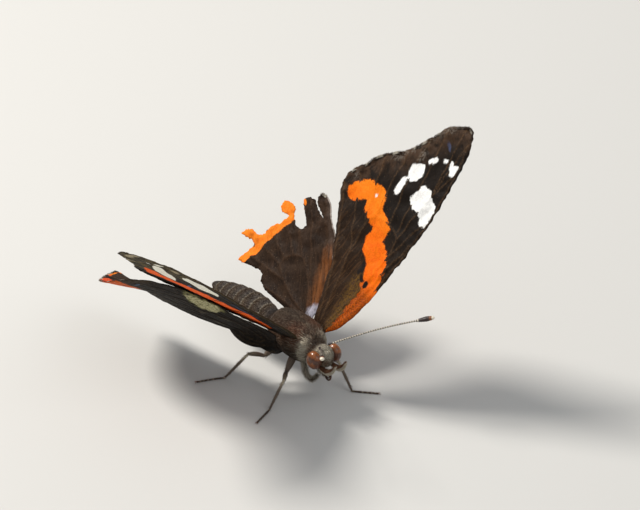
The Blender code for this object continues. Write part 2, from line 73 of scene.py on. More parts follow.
# How each wing leaves the body. The right wings are seen edge on, so they are set a little
# finer than the solids; lean moves a membrane towards its upper side, wavy is its ripple
WING_SET = {
    "forewing_left": dict(side=1, hinge=(1.5, 1.8, 1.0), raised=57.9, flare=0.0, sweep=14.3,
                          twist=0.2, camber=-0.2, span=FOREWING_LENGTH, tip_twist=0.0, roll=0.0,
                          lean=0.0, wavy=1.0),
    "forewing_right": dict(side=-1, hinge=(1.5, -1.8, 1.0), raised=42.04, flare=-3.8, sweep=-2.56,
                           twist=16.14, camber=0.552, span=FOREWING_LENGTH, tip_twist=3.92,
                           roll=-0.048, lean=0.045, wavy=0.3),
    "hindwing_left": dict(side=1, hinge=(-1.4, 2.45, 0.0), raised=51.5, flare=0.0, sweep=-36.0,
                          twist=0.0, camber=0.0, span=HINDWING_LENGTH, tip_twist=0.0, roll=0.0,
                          lean=0.0, wavy=1.0),
    "hindwing_right": dict(side=-1, hinge=(-0.89, -2.42, -0.59), raised=46.14, flare=-4.54,
                           sweep=-20.1, twist=22.04, camber=0.902, span=HINDWING_LENGTH,
                           tip_twist=14.44, roll=-0.134, lean=0.09, wavy=0.3, fold=0.8),
}
FOREWING_OUTLINE = [
    (-0.8, -0.8), (0.4, -1.3), (2.3, -2.6), (5.3, -3.35), (8.1, -3.65), (13.1, -3.75), (16.9, -3.7),
    (19.5, -3.55), (22.8, -3.0), (26.3, -2.35), (28.8, -1.4), (29.9, -0.45), (30.0, 0.4),
    (29.2, 1.4), (28.2, 2.6),
    (26.5, 3.4), (24.2, 4.4), (22.4, 5.3), (21.1, 6.5), (20.0, 7.5), (18.5, 8.6), (17.2, 9.0),
    (16.3, 9.6), (15.0, 10.2), (14.0, 10.2), (12.4, 9.5), (10.5, 7.9), (9.2, 6.6), (7.8, 5.4),
    (6.4, 4.2), (4.7, 3.4), (2.6, 2.3), (0.4, 1.2), (-0.8, 0.8),
]
FOREWING_VEINS = [
    [(1.2, -1.2), (3.0, -2.2), (5.3, -2.9), (8.1, -3.3), (13.1, -3.55), (16.9, -3.5), (19.5, -3.3),
     (22.8, -2.75), (26.3, -1.9), (28.9, -0.85)],
    [(1.2, -0.9), (4.0, -1.8), (7.0, -2.35), (11.0, -2.8), (15.4, -3.35)],
    [(1.2, -0.6), (4.0, -1.1), (8.5, -1.6), (12.5, -1.9), (16.0, -2.5), (19.0, -3.15)],
    [(12.5, -1.9), (14.6, -1.3), (18.0, -1.35), (21.0, -1.4), (25.2, -2.2)],
    [(21.0, -1.4), (24.6, -1.15), (28.6, -1.0)],
    [(21.0, -1.4), (25.0, -0.5), (29.6, 0.6)],
    [(14.8, -0.7), (19.0, 0.2), (24.0, 1.5), (28.1, 2.5)],
    [(14.9, 0.8), (18.5, 2.1), (22.5, 3.3), (25.6, 3.6)],
    [(14.2, 3.2), (17.5, 4.2), (22.4, 5.1)],
    [(12.4, 3.6), (15.6, 5.5), (19.8, 7.4)],
    [(9.0, 2.9), (12.3, 5.8), (16.4, 9.3)],
    [(1.2, 0.9), (4.0, 2.3), (8.0, 4.9), (13.7, 9.9)],
    [(1.2, 0.2), (4.0, 1.2), (9.0, 2.9), (12.4, 3.6), (14.2, 3.2), (14.9, 0.8), (14.8, -0.7),
     (14.6, -1.3)],
]
HINDWING_OUTLINE = [
    (-1.6, -0.6), (0.3, -1.1), (2.0, -3.0), (5.6, -4.0), (11.5, -3.4), (17.6, -2.2), (20.7, -0.3),
    (21.6, 2.5), (21.5, 5.9), (20.5, 9.4), (18.8, 12.8), (16.2, 16.2), (14.0, 17.7), (12.6, 18.0),
    (11.2, 16.6), (9.2, 13.6), (6.8, 9.8), (4.6, 6.4), (2.6, 3.4), (1.1, 1.6), (0.3, 0.9),
    (-1.6, 0.6),
]
TORN_OUTLINE = [
    (-1.0, -0.6), (0.3, -0.9), (1.4, -1.8), (3.4, -2.5), (6.2, -3.2), (7.9, -3.5), (9.8, -3.4),
    (11.3, -3.1), (12.8, -2.8), (14.2, -2.4), (15.1, -1.5), (14.95, -0.7), (14.3, -0.62),
    (13.2, -1.1), (12.0, -1.8), (13.1, -0.95), (14.3, -0.4), (14.8, 0.1), (15.0, 0.8), (14.8, 1.3),
    (13.8, 1.3), (12.6, 1.0), (11.8, 0.9), (11.4, 1.4), (11.7, 2.0), (12.3, 2.3), (13.3, 2.5),
    (14.1, 2.4), (14.8, 3.2), (15.1, 4.1),
    (14.4, 4.6), (13.8, 4.2), (13.3, 3.5), (12.8, 3.9), (12.6, 5.0), (12.1, 5.9), (11.6, 6.7),
    (11.6, 7.6), (12.3, 8.3), (12.5, 9.4), (12.1, 10.0), (11.5, 9.0), (10.8, 8.2), (10.2, 8.7),
    (9.7, 9.6), (9.1, 10.2), (8.6, 9.5), (7.6, 7.6), (6.9, 6.8), (5.5, 6.6), (3.8, 5.0),
    (2.3, 3.2), (1.0, 2.0), (0.3, 1.0), (-1.0, 0.6),
]
HINDWING_VEINS = [
    [(1.2, -0.8), (4.0, -1.9), (10.0, -2.4), (15.8, -2.1), (19.9, -0.9)],
    [(1.2, -0.1), (4.5, -0.3), (10.0, -0.3), (16.0, 0.2), (21.2, 1.2)],
    [(8.5, 1.0), (14.0, 2.2), (21.5, 4.2)],
    [(9.0, 2.4), (14.0, 4.1), (21.1, 7.2)],
    [(8.8, 3.8), (13.0, 6.3), (19.9, 10.4)],
    [(8.0, 4.4), (12.0, 8.2), (18.2, 13.8)],
    [(6.0, 3.7), (9.5, 8.5), (15.2, 16.6)],
    [(1.2, 0.9), (4.0, 4.4), (8.0, 10.2), (12.5, 17.2)],
    [(4.5, -0.3), (7.0, 0.3), (8.5, 1.0), (9.0, 2.4), (8.8, 3.8), (8.0, 4.4), (6.0, 3.7),
     (3.2, 2.0), (1.2, 0.3)],
]
# Where the front edge starts, and the first and last points of the stretch with the fringe
FRONT_START = (0.4, -1.3)
FRINGE_ENDS = {
    "forewing": ((29.9, -0.45), (14.0, 10.2)),
    "hindwing": ((20.0, -0.8), (12.6, 18.0)),
    "torn": ((14.7, -2.1), (14.95, -0.8)),
}


def oval(along, back, reach, width, turn=0.0):
    """An oval mark in a wing's plan, its long axis turned by so many degrees."""
    turned = math.radians(turn)
    points = []
    for step in range(12):
        angle = math.tau * step / 12
        a = reach * math.cos(angle)
        b = width * math.sin(angle)
        points.append((along + a * math.cos(turned) - b * math.sin(turned),
                       back + a * math.sin(turned) + b * math.cos(turned)))
    return points


# Markings in each wing's plan. orange, white, black and blue are what they say; tint is a
# zone of another ground colour and pale a zone of greyish or cream scales
ORANGE_BAND = [
    (13.3, 8.8), (14.0, 9.0), (15.7, 8.0), (16.55, 6.75), (17.1, 4.9), (16.6, 3.65), (15.4, 3.0),
    (15.15, 1.6), (14.85, 0.45), (13.65, 0.35), (12.95, 0.15), (12.5, -1.35), (11.8, -2.3),
    (10.5, -3.0), (8.6, -3.5), (7.2, -2.9), (7.4, -1.2), (8.8, -0.5), (9.9, 0.3), (10.45, 1.7),
    (11.5, 2.5), (13.0, 2.65), (13.15, 3.55), (13.7, 4.95), (14.45, 5.8), (13.7, 6.6), (12.85, 8.0),
]
COSTAL_STRIP = [(0.2, -1.4), (0.9, -2.2), (2.3, -3.1), (5.3, -3.9), (8.6, -3.9), (8.2, -1.9),
                (6.8, -1.65), (5.5, -1.55), (4.0, -1.5), (2.6, -1.45)]
WHITE_BAR = [(21.35, 0.3), (21.5, -0.7), (21.3, -1.5), (20.75, -1.85), (20.8, -2.7), (20.1, -3.0),
             (19.2, -3.3), (18.1, -3.4), (17.7, -2.6), (18.35, -1.8), (18.6, -1.25), (18.5, -0.4),
             (18.55, 0.4), (18.95, 0.95), (19.8, 0.8), (20.7, 0.55)]
WHITE_SPOTS = [
    [(20.7, 3.4), (21.7, 3.65), (22.3, 3.1), (22.85, 2.35), (22.55, 1.95), (21.8, 1.4), (20.8, 1.85),
     (20.1, 2.45), (20.3, 3.05)],
    [(20.2, 3.4), (19.9, 2.85), (19.0, 2.5), (18.15, 2.55), (17.7, 3.2), (18.2, 3.5), (19.3, 3.55)],
    [(23.5, 2.1), (24.3, 1.8), (24.75, 1.25), (24.4, 0.95), (23.8, 1.2), (23.4, 1.7)],
    [(25.0, 0.5), (25.5, 0.1), (25.2, -0.2), (24.9, 0.1)],
    [(25.2, -0.6), (25.85, -0.6), (25.65, -1.1), (26.05, -1.85), (25.85, -2.15), (24.65, -2.05),
     (24.45, -1.55), (24.8, -0.9)],
]
MARKS = {
    ("forewing", "upper"): {
        "orange": [ORANGE_BAND, COSTAL_STRIP],
        "white": [WHITE_BAR] + WHITE_SPOTS + [oval(15.74, 5.0, 0.28, 0.2)],
        "black": [oval(8.05, -1.7, 0.5, 0.34, 20), oval(8.15, -0.7, 0.5, 0.3, 60),
                  oval(9.1, 0.2, 0.7, 0.32, 40), oval(8.4, 0.3, 0.4, 0.3)],
        "blue": [oval(26.6, 1.0, 0.7, 0.16, 65)],
        "tint": [[(1.0, -1.5), (7.0, -2.2), (9.0, -1.0), (7.6, 0.4), (5.0, -0.2), (2.5, -0.5)]],
        "pale": [[(20.2, 6.6), (21.4, 5.2), (23.6, 4.4), (26.4, 3.0), (28.4, 1.6), (28.6, 3.2),
                  (24.2, 5.0), (21.4, 7.2)], oval(15.4, 9.1, 0.45, 0.25),
                 [(22.5, 3.2), (23.3, 3.65), (24.1, 3.5), (23.9, 3.0), (23.1, 2.7)]],
    },
    ("forewing", "under"): {
        "orange": [[(3.2, 0.3), (7.0, -0.5), (9.9, -0.5), (11.1, 0.4), (13.4, 0.45), (15.5, 1.05),
                    (17.3, 2.0), (19.2, 3.0), (21.2, 2.8), (22.9, 3.3), (19.8, 5.7), (18.4, 5.4),
                    (17.9, 4.3), (15.6, 3.6), (13.1, 3.3), (10.3, 3.0), (7.0, 2.4), (4.0, 1.5)]],
        "white": [[(24.4, 0.7), (25.0, -0.5), (23.5, -0.3), (21.6, 0.4), (20.4, 0.7), (19.0, 1.8),
                   (18.8, 2.2), (20.2, 2.5), (21.9, 2.2), (23.2, 1.5)],
                  [(21.0, -0.9), (20.8, -1.9), (19.6, -2.4), (18.4, -2.8), (16.3, -2.5), (15.1, -1.6),
                   (15.1, -1.2), (16.3, -0.6), (17.9, -0.4), (19.7, -0.5)],
                  oval(25.6, -1.3, 0.6, 0.4, 40), oval(25.6, 0.3, 0.35, 0.2)],
        "black": [oval(8.6, 0.9, 1.0, 0.22, 80), oval(12.2, 1.2, 0.7, 0.2, 80)],
        "blue": [oval(9.6, -1.2, 3.0, 0.13, -2), oval(17.2, 1.2, 0.2, 0.9, 30),
                 oval(5.0, -1.0, 2.0, 0.12, -8)],
        "tint": [[(20.8, -4.5), (31.0, -4.5), (31.0, 6.0), (22.0, 6.0), (20.5, 2.0)]],
        "pale": [oval(28.2, 0.9, 1.2, 0.45, -55), oval(25.6, 3.3, 0.8, 0.35, 60),
                 oval(23.4, -1.9, 0.7, 0.3, 10), oval(28.9, -0.4, 0.5, 0.7, 0)],
    },
    ("hindwing", "upper"): {
        "orange": [[(19.4, 3.2), (20.9, 4.0), (20.0, 9.2), (18.3, 12.2), (15.7, 15.8), (13.2, 17.3),
                    (12.6, 16.3), (14.6, 14.8), (16.6, 12.2), (16.9, 10.6), (17.2, 9.6),
                    (18.0, 8.4)]],
        "white": [],
        "black": [oval(19.6, 6.0, 0.5, 0.36), oval(18.7, 8.9, 0.5, 0.36),
                  oval(17.1, 12.3, 0.95, 0.6, -57), oval(15.1, 15.0, 0.7, 0.45, -50)],
        "blue": [oval(13.2, 16.6, 0.75, 0.32, -45)],
        "tint": [[(0.5, -2.0), (6.0, -3.4), (17.0, -2.8), (16.0, -1.2), (6.0, -1.4)]],
        "pale": [[(1.0, 1.8), (3.4, 2.6), (9.6, 11.6), (12.0, 16.6), (10.6, 16.8), (4.6, 7.4)]],
    },
    ("torn", "upper"): {
        "orange": [[(12.25, 3.2), (12.7, 2.2), (13.6, 2.4), (14.2, 2.2), (15.4, 3.2), (15.4, 4.9),
                    (13.6, 4.9), (13.1, 3.9), (13.1, 5.3), (12.0, 7.0), (12.9, 8.2), (13.0, 10.4),
                    (11.6, 10.4), (10.8, 8.8), (10.2, 9.2), (9.2, 10.8), (8.2, 9.9), (8.9, 8.9),
                    (9.6, 7.4), (10.6, 6.1), (11.4, 5.0), (11.9, 4.0)],
                   oval(14.6, 1.2, 0.45, 0.3, 30), oval(13.6, 1.5, 0.3, 0.3)],
        "white": [],
        "black": [oval(12.1, 6.3, 0.25, 0.18), oval(10.5, 8.3, 0.2, 0.2)],
        "blue": [[(0.2, -1.6), (1.6, -1.9), (1.9, -1.0), (1.2, -0.2), (0.2, -0.6)]],
        "tint": [[(1.4, -1.9), (3.4, -2.7), (8.0, -3.7), (8.4, -2.6), (6.2, -1.6), (2.2, -0.5)]],
        "pale": [[(7.2, -3.8), (13.6, -3.0), (15.4, -2.0), (12.2, -2.35), (8.0, -2.85)]],
    },
    ("hindwing", "under"): {
        "orange": [[(16.0, 4.6), (19.3, 3.0), (20.4, 3.6), (20.0, 6.5), (18.2, 9.8), (15.6, 12.6),
                    (14.6, 12.2), (16.8, 8.4), (16.6, 6.0)]],
        "white": [[(13.6, -1.1), (12.9, -1.8), (11.8, -2.3), (10.4, -2.8), (9.1, -2.0), (8.5, -0.2),
                   (8.7, 0.7), (10.0, 1.2), (11.8, 0.6)]],
        "black": [oval(17.4, 2.2, 0.4, 0.34), oval(17.9, 4.8, 0.36, 0.3), oval(17.6, 7.4, 0.36, 0.3),
                  oval(15.6, 10.4, 0.42, 0.36), oval(13.4, 12.6, 0.45, 0.4)],
        "blue": [oval(18.1, 1.8, 0.18, 0.6), oval(17.0, 8.8, 0.2, 0.7, 20),
                 oval(14.6, 13.0, 0.2, 0.7, 40)],
        "tint": [[(9.2, -2.9), (14.4, -2.6), (13.9, -1.4), (12.9, -0.4), (11.6, 0.9), (9.4, 1.4),
                  (8.8, -1.0)]],
        "pale": [oval(6.4, 0.8, 1.1, 0.25, 35), oval(8.4, 3.2, 0.9, 0.22, 80),
                 oval(5.2, 4.2, 0.8, 0.2, 50), oval(12.4, 6.2, 1.2, 0.22, 60),
                 oval(10.2, 9.8, 1.0, 0.22, 60)],
    },
}
MARK_NAMES = ("orange", "white", "black", "blue", "tint", "pale")
MARKS["torn", "under"] = MARKS["hindwing", "under"]

# Walking legs in the floor frame from the point below the thorax: forward, left, height of
# hip, trochanter, knee, ankle, heel, middle and toe
LEG_PATHS = {
    "leg_mid_left": [(1.2, 1.2, 3.6), (1.9, 2.6, 3.3), (3.9, 3.3, 3.5), (5.2, 3.9, 0.75),
                     (5.6, 4.1, 0.25), (6.5, 5.1, 0.25), (7.6, 6.3, 0.25)],
    "leg_mid_right": [(1.2, -1.2, 3.6), (1.9, -2.6, 3.2), (3.2, -3.9, 3.4), (3.3, -5.6, 0.75),
                      (3.4, -6.0, 0.25), (3.9, -7.1, 0.25), (4.6, -8.6, 0.25)],
    "leg_hind_left": [(-1.7, 1.2, 3.4), (-2.1, 2.6, 3.1), (-3.4, 4.6, 3.5), (-4.8, 6.2, 0.8),
                      (-5.0, 6.5, 0.25), (-5.8, 7.4, 0.25), (-7.4, 8.8, 0.25)],
    "leg_hind_right": [(-1.7, -1.2, 3.4), (-2.1, -2.6, 3.1), (-3.0, -4.3, 3.5), (-4.3, -6.0, 0.8),
                       (-4.5, -6.3, 0.25), (-5.0, -7.4, 0.25), (-5.6, -9.4, 0.25)],
}

# The skin under the coat, from the face to the tail: forward, height of the middle, half
# width, half height above and below
BODY_STATIONS = [
    (6.42, -0.2, 0.2, 0.2, 0.2), (6.32, -0.18, 0.5, 0.55, 0.55), (6.05, -0.14, 0.86, 0.95, 0.95),
    (5.6, -0.1, 1.14, 1.25, 1.2), (5.1, -0.1, 1.25, 1.32, 1.28), (4.6, -0.08, 1.15, 1.22, 1.2),
    (4.2, -0.04, 1.05, 1.1, 1.1), (3.85, 0.0, 1.3, 1.3, 1.3), (3.2, 0.04, 1.92, 1.9, 1.85),
    (2.2, 0.08, 2.34, 2.32, 2.25), (0.6, 0.1, 2.52, 2.5, 2.4), (-1.2, 0.08, 2.36, 2.4, 2.25),
    (-2.4, 0.04, 1.92, 2.05, 1.85), (-3.2, 0.0, 1.45, 1.55, 1.4), (-3.75, -0.02, 1.18, 1.18, 1.15),
    (-4.6, -0.06, 1.22, 1.2, 1.18), (-6.0, -0.16, 1.52, 1.46, 1.42), (-7.6, -0.32, 1.72, 1.62, 1.6),
    (-9.2, -0.5, 1.72, 1.62, 1.6), (-10.8, -0.66, 1.58, 1.48, 1.46), (-12.2, -0.8, 1.32, 1.24, 1.22),
    (-13.6, -0.94, 0.96, 0.9, 0.88), (-14.6, -1.04, 0.6, 0.55, 0.55),
    (-15.05, -1.08, 0.34, 0.32, 0.32), (-15.22, -1.1, 0.14, 0.13, 0.13),
]


# Curves, meshes and tufts

def floor_place(points):
    """Places of the body frame, in millimetres, in the floor frame, in metres."""
    points = np.asarray(points, float)
    level = points[..., 0] * math.cos(PITCH) - points[..., 2] * math.sin(PITCH)
    height = points[..., 0] * math.sin(PITCH) + points[..., 2] * math.cos(PITCH)
    return np.stack([points[..., 1] + BOX_SHIFT[0], BOX_SHIFT[1] - level, height + BODY_HEIGHT],
                    -1) * MM


def ground_place(points):
    """Places measured from the floor below the thorax (forward, left, height), in metres."""
    points = np.asarray(points, float)
    return np.stack([points[..., 1] + BOX_SHIFT[0], BOX_SHIFT[1] - points[..., 0],
                     points[..., 2]], -1) * MM


def unit(vectors):
    """The vectors, each one long."""
    length = np.linalg.norm(vectors, axis=-1, keepdims=True)
    return vectors / np.maximum(length, 1e-12)


def mirrored(places, side):
    """Places of the left side, or of the right one where side is -1."""
    return np.array(places) * np.array([1, side, 1])


def smooth_curve(points, steps, closed=False):
    """A Catmull-Rom curve through the points, with a number of steps from one to the next."""
    points = np.asarray(points, float)
    count = len(points)
    spans = np.arange(count if closed else count - 1)
    if closed:
        a, b, c, d = (points[(spans + offset) % count] for offset in (-1, 0, 1, 2))
    else:
        a, b, c, d = (points[np.clip(spans + offset, 0, count - 1)] for offset in (-1, 0, 1, 2))
    curve = []
    for step in range(steps):
        t = step / steps
        curve.append(0.5 * (2 * b + (c - a) * t + (2 * a - 5 * b + 4 * c - d) * t ** 2
                            + (3 * b - a - 3 * c + d) * t ** 3))
    curve = np.stack(curve, 1).reshape(-1, points.shape[1])
    return curve if closed else np.vstack([curve, points[-1]])


def even_steps(curve, spacing, closed=False):
    """The curve with points spread evenly along it, about a spacing apart."""
    if closed:
        curve = np.vstack([curve, curve[:1]])
    gone = np.concatenate([[0], np.cumsum(np.linalg.norm(np.diff(curve, axis=0), axis=1))])
    count = max(2, round(gone[-1] / spacing))
    marks = np.linspace(0, gone[-1], count + 1)
    even = np.stack([np.interp(marks, gone, curve[:, axis]) for axis in range(curve.shape[1])], 1)
    return even[:-1] if closed else even


def line_distance(points, line):
    """Distance in a plan from each point to a line, and how far along the line, 0 to 1."""
    start, run = line[:-1], np.diff(line, axis=0)
    square = np.maximum((run ** 2).sum(1), 1e-12)
    off = points[:, None] - start[None]
    t = np.clip((off * run[None]).sum(2) / square, 0, 1)
    apart = np.linalg.norm(off - t[..., None] * run[None], axis=2)
    nearest = apart.argmin(1)
    rows = np.arange(len(points))
    return apart[rows, nearest], (nearest + t[rows, nearest]) / len(run)


def inside(points, shape):
    """Which points of a plan lie inside a closed outline."""
    x, y = points[:, :1], points[:, 1:]
    ahead = np.roll(shape, -1, axis=0)
    straddles = (shape[:, 1] > y) != (ahead[:, 1] > y)
    rise = np.where(ahead[:, 1] == shape[:, 1], 1e-12, ahead[:, 1] - shape[:, 1])
    crossing = (ahead[:, 0] - shape[:, 0]) * (y - shape[:, 1]) / rise + shape[:, 0]
    return (straddles & (x < crossing)).sum(1) % 2 == 1


def mark_depth(points, shapes):
    """How deep each point lies inside the nearest of some marks, negative outside, up to 9 mm."""
    depth = np.full(len(points), -9.0)
    for shape in shapes:
        curve = smooth_curve(shape, 3, closed=True)
        away, _ = line_distance(points, np.vstack([curve, curve[:1]]))
        depth = np.maximum(depth, np.where(inside(points, curve), away, -away))
    return depth


def make_piece(name, verts, faces, materials, slots=None, marks=None, bake=None, smooth=True):
    """A mesh object in metres; marks are values kept at its vertices, bake its OFBake map."""
    mesh = bpy.data.meshes.new(name)
    mesh.from_pydata(np.asarray(verts).tolist(), [],
                     faces.tolist() if isinstance(faces, np.ndarray) else faces)
    for material in materials:
        mesh.materials.append(material)
    if slots is not None:
        mesh.polygons.foreach_set("material_index", np.asarray(slots, np.int32))
    for label, values in (marks or {}).items():
        kind = "FLOAT_VECTOR" if np.ndim(values) == 2 else "FLOAT"
        attribute = mesh.attributes.new(label, kind, "POINT")
        attribute.data.foreach_set("vector" if np.ndim(values) == 2 else "value",
                                   np.asarray(values, np.float32).ravel())
    if bake is not None:
        corners = np.zeros(len(mesh.loops), np.int32)
        mesh.loops.foreach_get("vertex_index", corners)
        places = bake[corners] if len(bake) == len(mesh.vertices) else bake
        layer = mesh.uv_layers.new(name="OFBake")
        layer.data.foreach_set("uv", np.asarray(places, np.float32).ravel())
    mesh.polygons.foreach_set("use_smooth", np.full(len(mesh.polygons), smooth))
    mesh.update()
    piece = bpy.data.objects.new(name, mesh)
    bpy.context.scene.collection.objects.link(piece)
    return piece


def settle(piece, slot, *nodes):
    """The piece rides on the still body and stands for the named solids."""
    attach(piece, "root")
    if nodes:
        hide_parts(*nodes)


def plain_piece(name, places, faces, material, marks, slot, *nodes, bake=None):
    """A settled piece of one material."""
    piece = make_piece(name, places, faces, [MATERIALS[material]], None, marks, bake)
    settle(piece, slot, *nodes)


def join_parts(parts):
    """Several (verts, faces, marks) as one; marks are values at the vertices."""
    verts, faces, marks, start = [], [], {}, 0
    for part_verts, part_faces, part_marks in parts:
        verts.append(part_verts)
        faces += [tuple(int(index) + start for index in face) for face in part_faces]
        for label, values in part_marks.items():
            marks.setdefault(label, []).append(values)
        start += len(part_verts)
    return np.vstack(verts), faces, {label: np.concatenate(values) for label, values in marks.items()}


def ring_faces(rows, sides):
    """The faces of rings of vertices in a row, closed by a point at each end of the row."""
    faces = []
    for row in range(rows - 1):
        for col in range(sides):
            nxt = (col + 1) % sides
            faces.append((row * sides + col, (row + 1) * sides + col, (row + 1) * sides + nxt,
                          row * sides + nxt))
    first, last = rows * sides, rows * sides + 1
    for col in range(sides):
        nxt = (col + 1) % sides
        faces.append((first, col, nxt))
        faces.append((last, (rows - 1) * sides + nxt, (rows - 1) * sides + col))
    return faces


def tube_along(curve, radii, sides, squash=1.0, guide=(0.0, 0.0, 1.0)):
    """A closed tube along a curve, with a point at each end; the guide sets how its rings lie."""
    curve = np.asarray(curve, float)
    radii = np.broadcast_to(np.asarray(radii, float), len(curve))
    tangent = unit(np.gradient(curve, axis=0))
    across = unit(np.cross(np.asarray(guide, float), tangent))
    lift = np.cross(tangent, across)
    angles = math.tau * (np.arange(sides) + 0.5) / sides
    ring = (np.cos(angles)[None, :, None] * lift[:, None] * squash
            + np.sin(angles)[None, :, None] * across[:, None])
    rings = curve[:, None] + ring * radii[:, None, None]
    verts = np.vstack([rings.reshape(-1, 3), curve[0], curve[-1]])
    return verts, ring_faces(len(curve), sides)


def tufts(roots, along, normal, lengths, widths, lift, profile=(1.0, 0.72), flat=0.45):
    """Closed three-sided tufts that leave their roots along a direction and bend from the skin.

    Returns their vertices, triangles and, for each vertex, its tuft and its place along it."""
    count = len(roots)
    rings = len(profile)
    along = unit(along)
    across = unit(np.cross(normal, along))
    over = np.cross(along, across)
    lengths = np.broadcast_to(lengths, count)[:, None]
    widths = np.broadcast_to(widths, count)[:, None]
    lift = np.broadcast_to(lift, count)[:, None]
    verts = np.zeros((count, rings * 3 + 1, 3))
    place = np.zeros((count, rings * 3 + 1))
    for ring, share in enumerate(profile):
        t = ring / rings
        middle = roots + along * lengths * t + normal * lengths * lift * t ** 2
        for corner in range(3):
            angle = math.tau * corner / 3 + math.pi / 2
            verts[:, ring * 3 + corner] = (middle + across * widths * share * math.cos(angle)
                                           + over * widths * share * flat * math.sin(angle))
            place[:, ring * 3 + corner] = t
    verts[:, -1] = roots + along * lengths + normal * lengths * lift
    place[:, -1] = 1.0
    pattern = [(2, 1, 0)]
    for ring in range(rings - 1):
        for corner in range(3):
            nxt = (corner + 1) % 3
            low, high = ring * 3, ring * 3 + 3
            pattern += [(low + corner, low + nxt, high + nxt),
                        (low + corner, high + nxt, high + corner)]
    for corner in range(3):
        pattern.append(((rings - 1) * 3 + corner, (rings - 1) * 3 + (corner + 1) % 3, rings * 3))
    pattern = np.array(pattern)
    faces = (pattern[None] + (np.arange(count) * (rings * 3 + 1))[:, None, None]).reshape(-1, 3)
    owner = np.repeat(np.arange(count), rings * 3 + 1)
    return verts.reshape(-1, 3), faces, owner, place.ravel()


BAKE_PATCH = 0.0015


def tuft_bake(root_map, owner, place):
    """The OFBake map of tufts: each a small patch at its root's place on the skin's own map."""
    turn = np.arange(len(owner)) % 3 * math.tau / 3
    spread = BAKE_PATCH * (1 - 0.5 * place)
    return root_map[owner] + np.stack([np.cos(turn), np.sin(turn)], 1) * spread[:, None]


def tuft_piece(name, material, slot, grown, marks, root_map):
    """A piece made of the grown tufts; its marks and map are given for each root."""
    verts, faces, owner, place = grown
    values = {label: of_root[owner] for label, of_root in marks.items()}
    values["tip"] = place
    plain_piece(name, floor_place(verts), faces, material, values, slot,
                bake=tuft_bake(root_map, owner, place))


# Nodes of the materials

class Board:
    """Lays out the nodes of one material or group."""

    def __init__(self, tree):
        self.tree = tree

    def add(self, kind, settings=None, **inputs):
        """A new node; an input is named with _ for a space, or i and its number."""
        node = self.tree.nodes.new(kind)
        for label, value in (settings or {}).items():
            setattr(node, label, value)
        for label, value in inputs.items():
            numbered = label[0] == "i" and label[1:].isdigit()
            key = int(label[1:]) if numbered else label.replace("_", " ")
            self.feed(node.inputs[key], value)
        return node

    def feed(self, socket, value):
        """Links a socket's value in, or sets a constant on the input itself."""
        if isinstance(value, bpy.types.NodeSocket):
            self.tree.links.new(value, socket)
        else:
            socket.default_value = value

    def sum(self, operation, *values):
        """The result of a sum of the Math node."""
        node = self.add("ShaderNodeMath", {"operation": operation})
        for index, value in enumerate(values):
            self.feed(node.inputs[index], value)
        return node.outputs[0]

    def between(self, value, low, high, start=0.0, end=1.0):
        """The value's smooth rise from start at low to end at high."""
        node = self.add("ShaderNodeMapRange", {"interpolation_type": "SMOOTHSTEP"}, Value=value,
                        From_Min=low, From_Max=high, To_Min=start, To_Max=end)
        return node.outputs[0]

    def mix(self, share, first, second, how="MIX"):
        """The first colour with a share of the second."""
        node = self.add("ShaderNodeMix", {"data_type": "RGBA", "blend_type": how,
                                          "clamp_factor": True})
        self.feed(node.inputs[0], share)
        self.feed(node.inputs[6], first)
        self.feed(node.inputs[7], second)
        return node.outputs[2]

    def lay(self, colour, mask, share, shade):
        """The colour with a shade laid over it where the mask is set, by so much at most."""
        return self.mix(self.sum("MULTIPLY", mask, share), colour, paint(*shade))

    def stretch(self, place, factors):
        """The place scaled along each axis, for patterns longer one way."""
        return self.add("ShaderNodeVectorMath", {"operation": "MULTIPLY"}, i0=place,
                        i1=factors).outputs[0]

    def noise(self, place, scale, detail=2.0, rough=0.5):
        """Soft noise, 0 to 1, with so many clouds to the millimetre."""
        return self.add("ShaderNodeTexNoise", None, Vector=place, Scale=scale, Detail=detail,
                        Roughness=rough).outputs[0]

    def mark(self, label):
        """A value kept at the vertices."""
        return self.add("ShaderNodeAttribute", {"attribute_name": label}).outputs["Fac"]

    def place(self):
        """The place in the wing's plan or on the body, in millimetres."""
        return self.add("ShaderNodeAttribute", {"attribute_name": "plan"}).outputs["Vector"]

    def group(self, tree, **inputs):
        """The outputs of a shared node group."""
        return self.add("ShaderNodeGroup", {"node_tree": tree}, **inputs).outputs

    def bump(self, height, strength, reach):
        """Fine relief from a height; its reach is in metres."""
        return self.add("ShaderNodeBump", None, Height=height, Strength=strength,
                        Distance=reach).outputs[0]


def paint(red, green, blue):
    """A colour given in screen values, 0 to 255, as the shaders take it."""
    linear = []
    for part in (red, green, blue):
        part /= 255
        linear.append(part / 12.92 if part <= 0.04045 else ((part + 0.055) / 1.055) ** 2.4)
    return (*linear, 1.0)


def new_group(name, inputs, outputs):
    """An empty node group with named sockets; returns its board, inputs and output node."""
    tree = bpy.data.node_groups.new(name, "ShaderNodeTree")
    for label, kind, value in inputs:
        socket = tree.interface.new_socket(label, in_out="INPUT", socket_type=kind)
        if value is not None:
            socket.default_value = value
    for label, kind in outputs:
        tree.interface.new_socket(label, in_out="OUTPUT", socket_type=kind)
    board = Board(tree)
    return board, board.add("NodeGroupInput").outputs, board.add("NodeGroupOutput").inputs


FLOAT, VECTOR, COLOUR = "NodeSocketFloat", "NodeSocketVector", "NodeSocketColor"


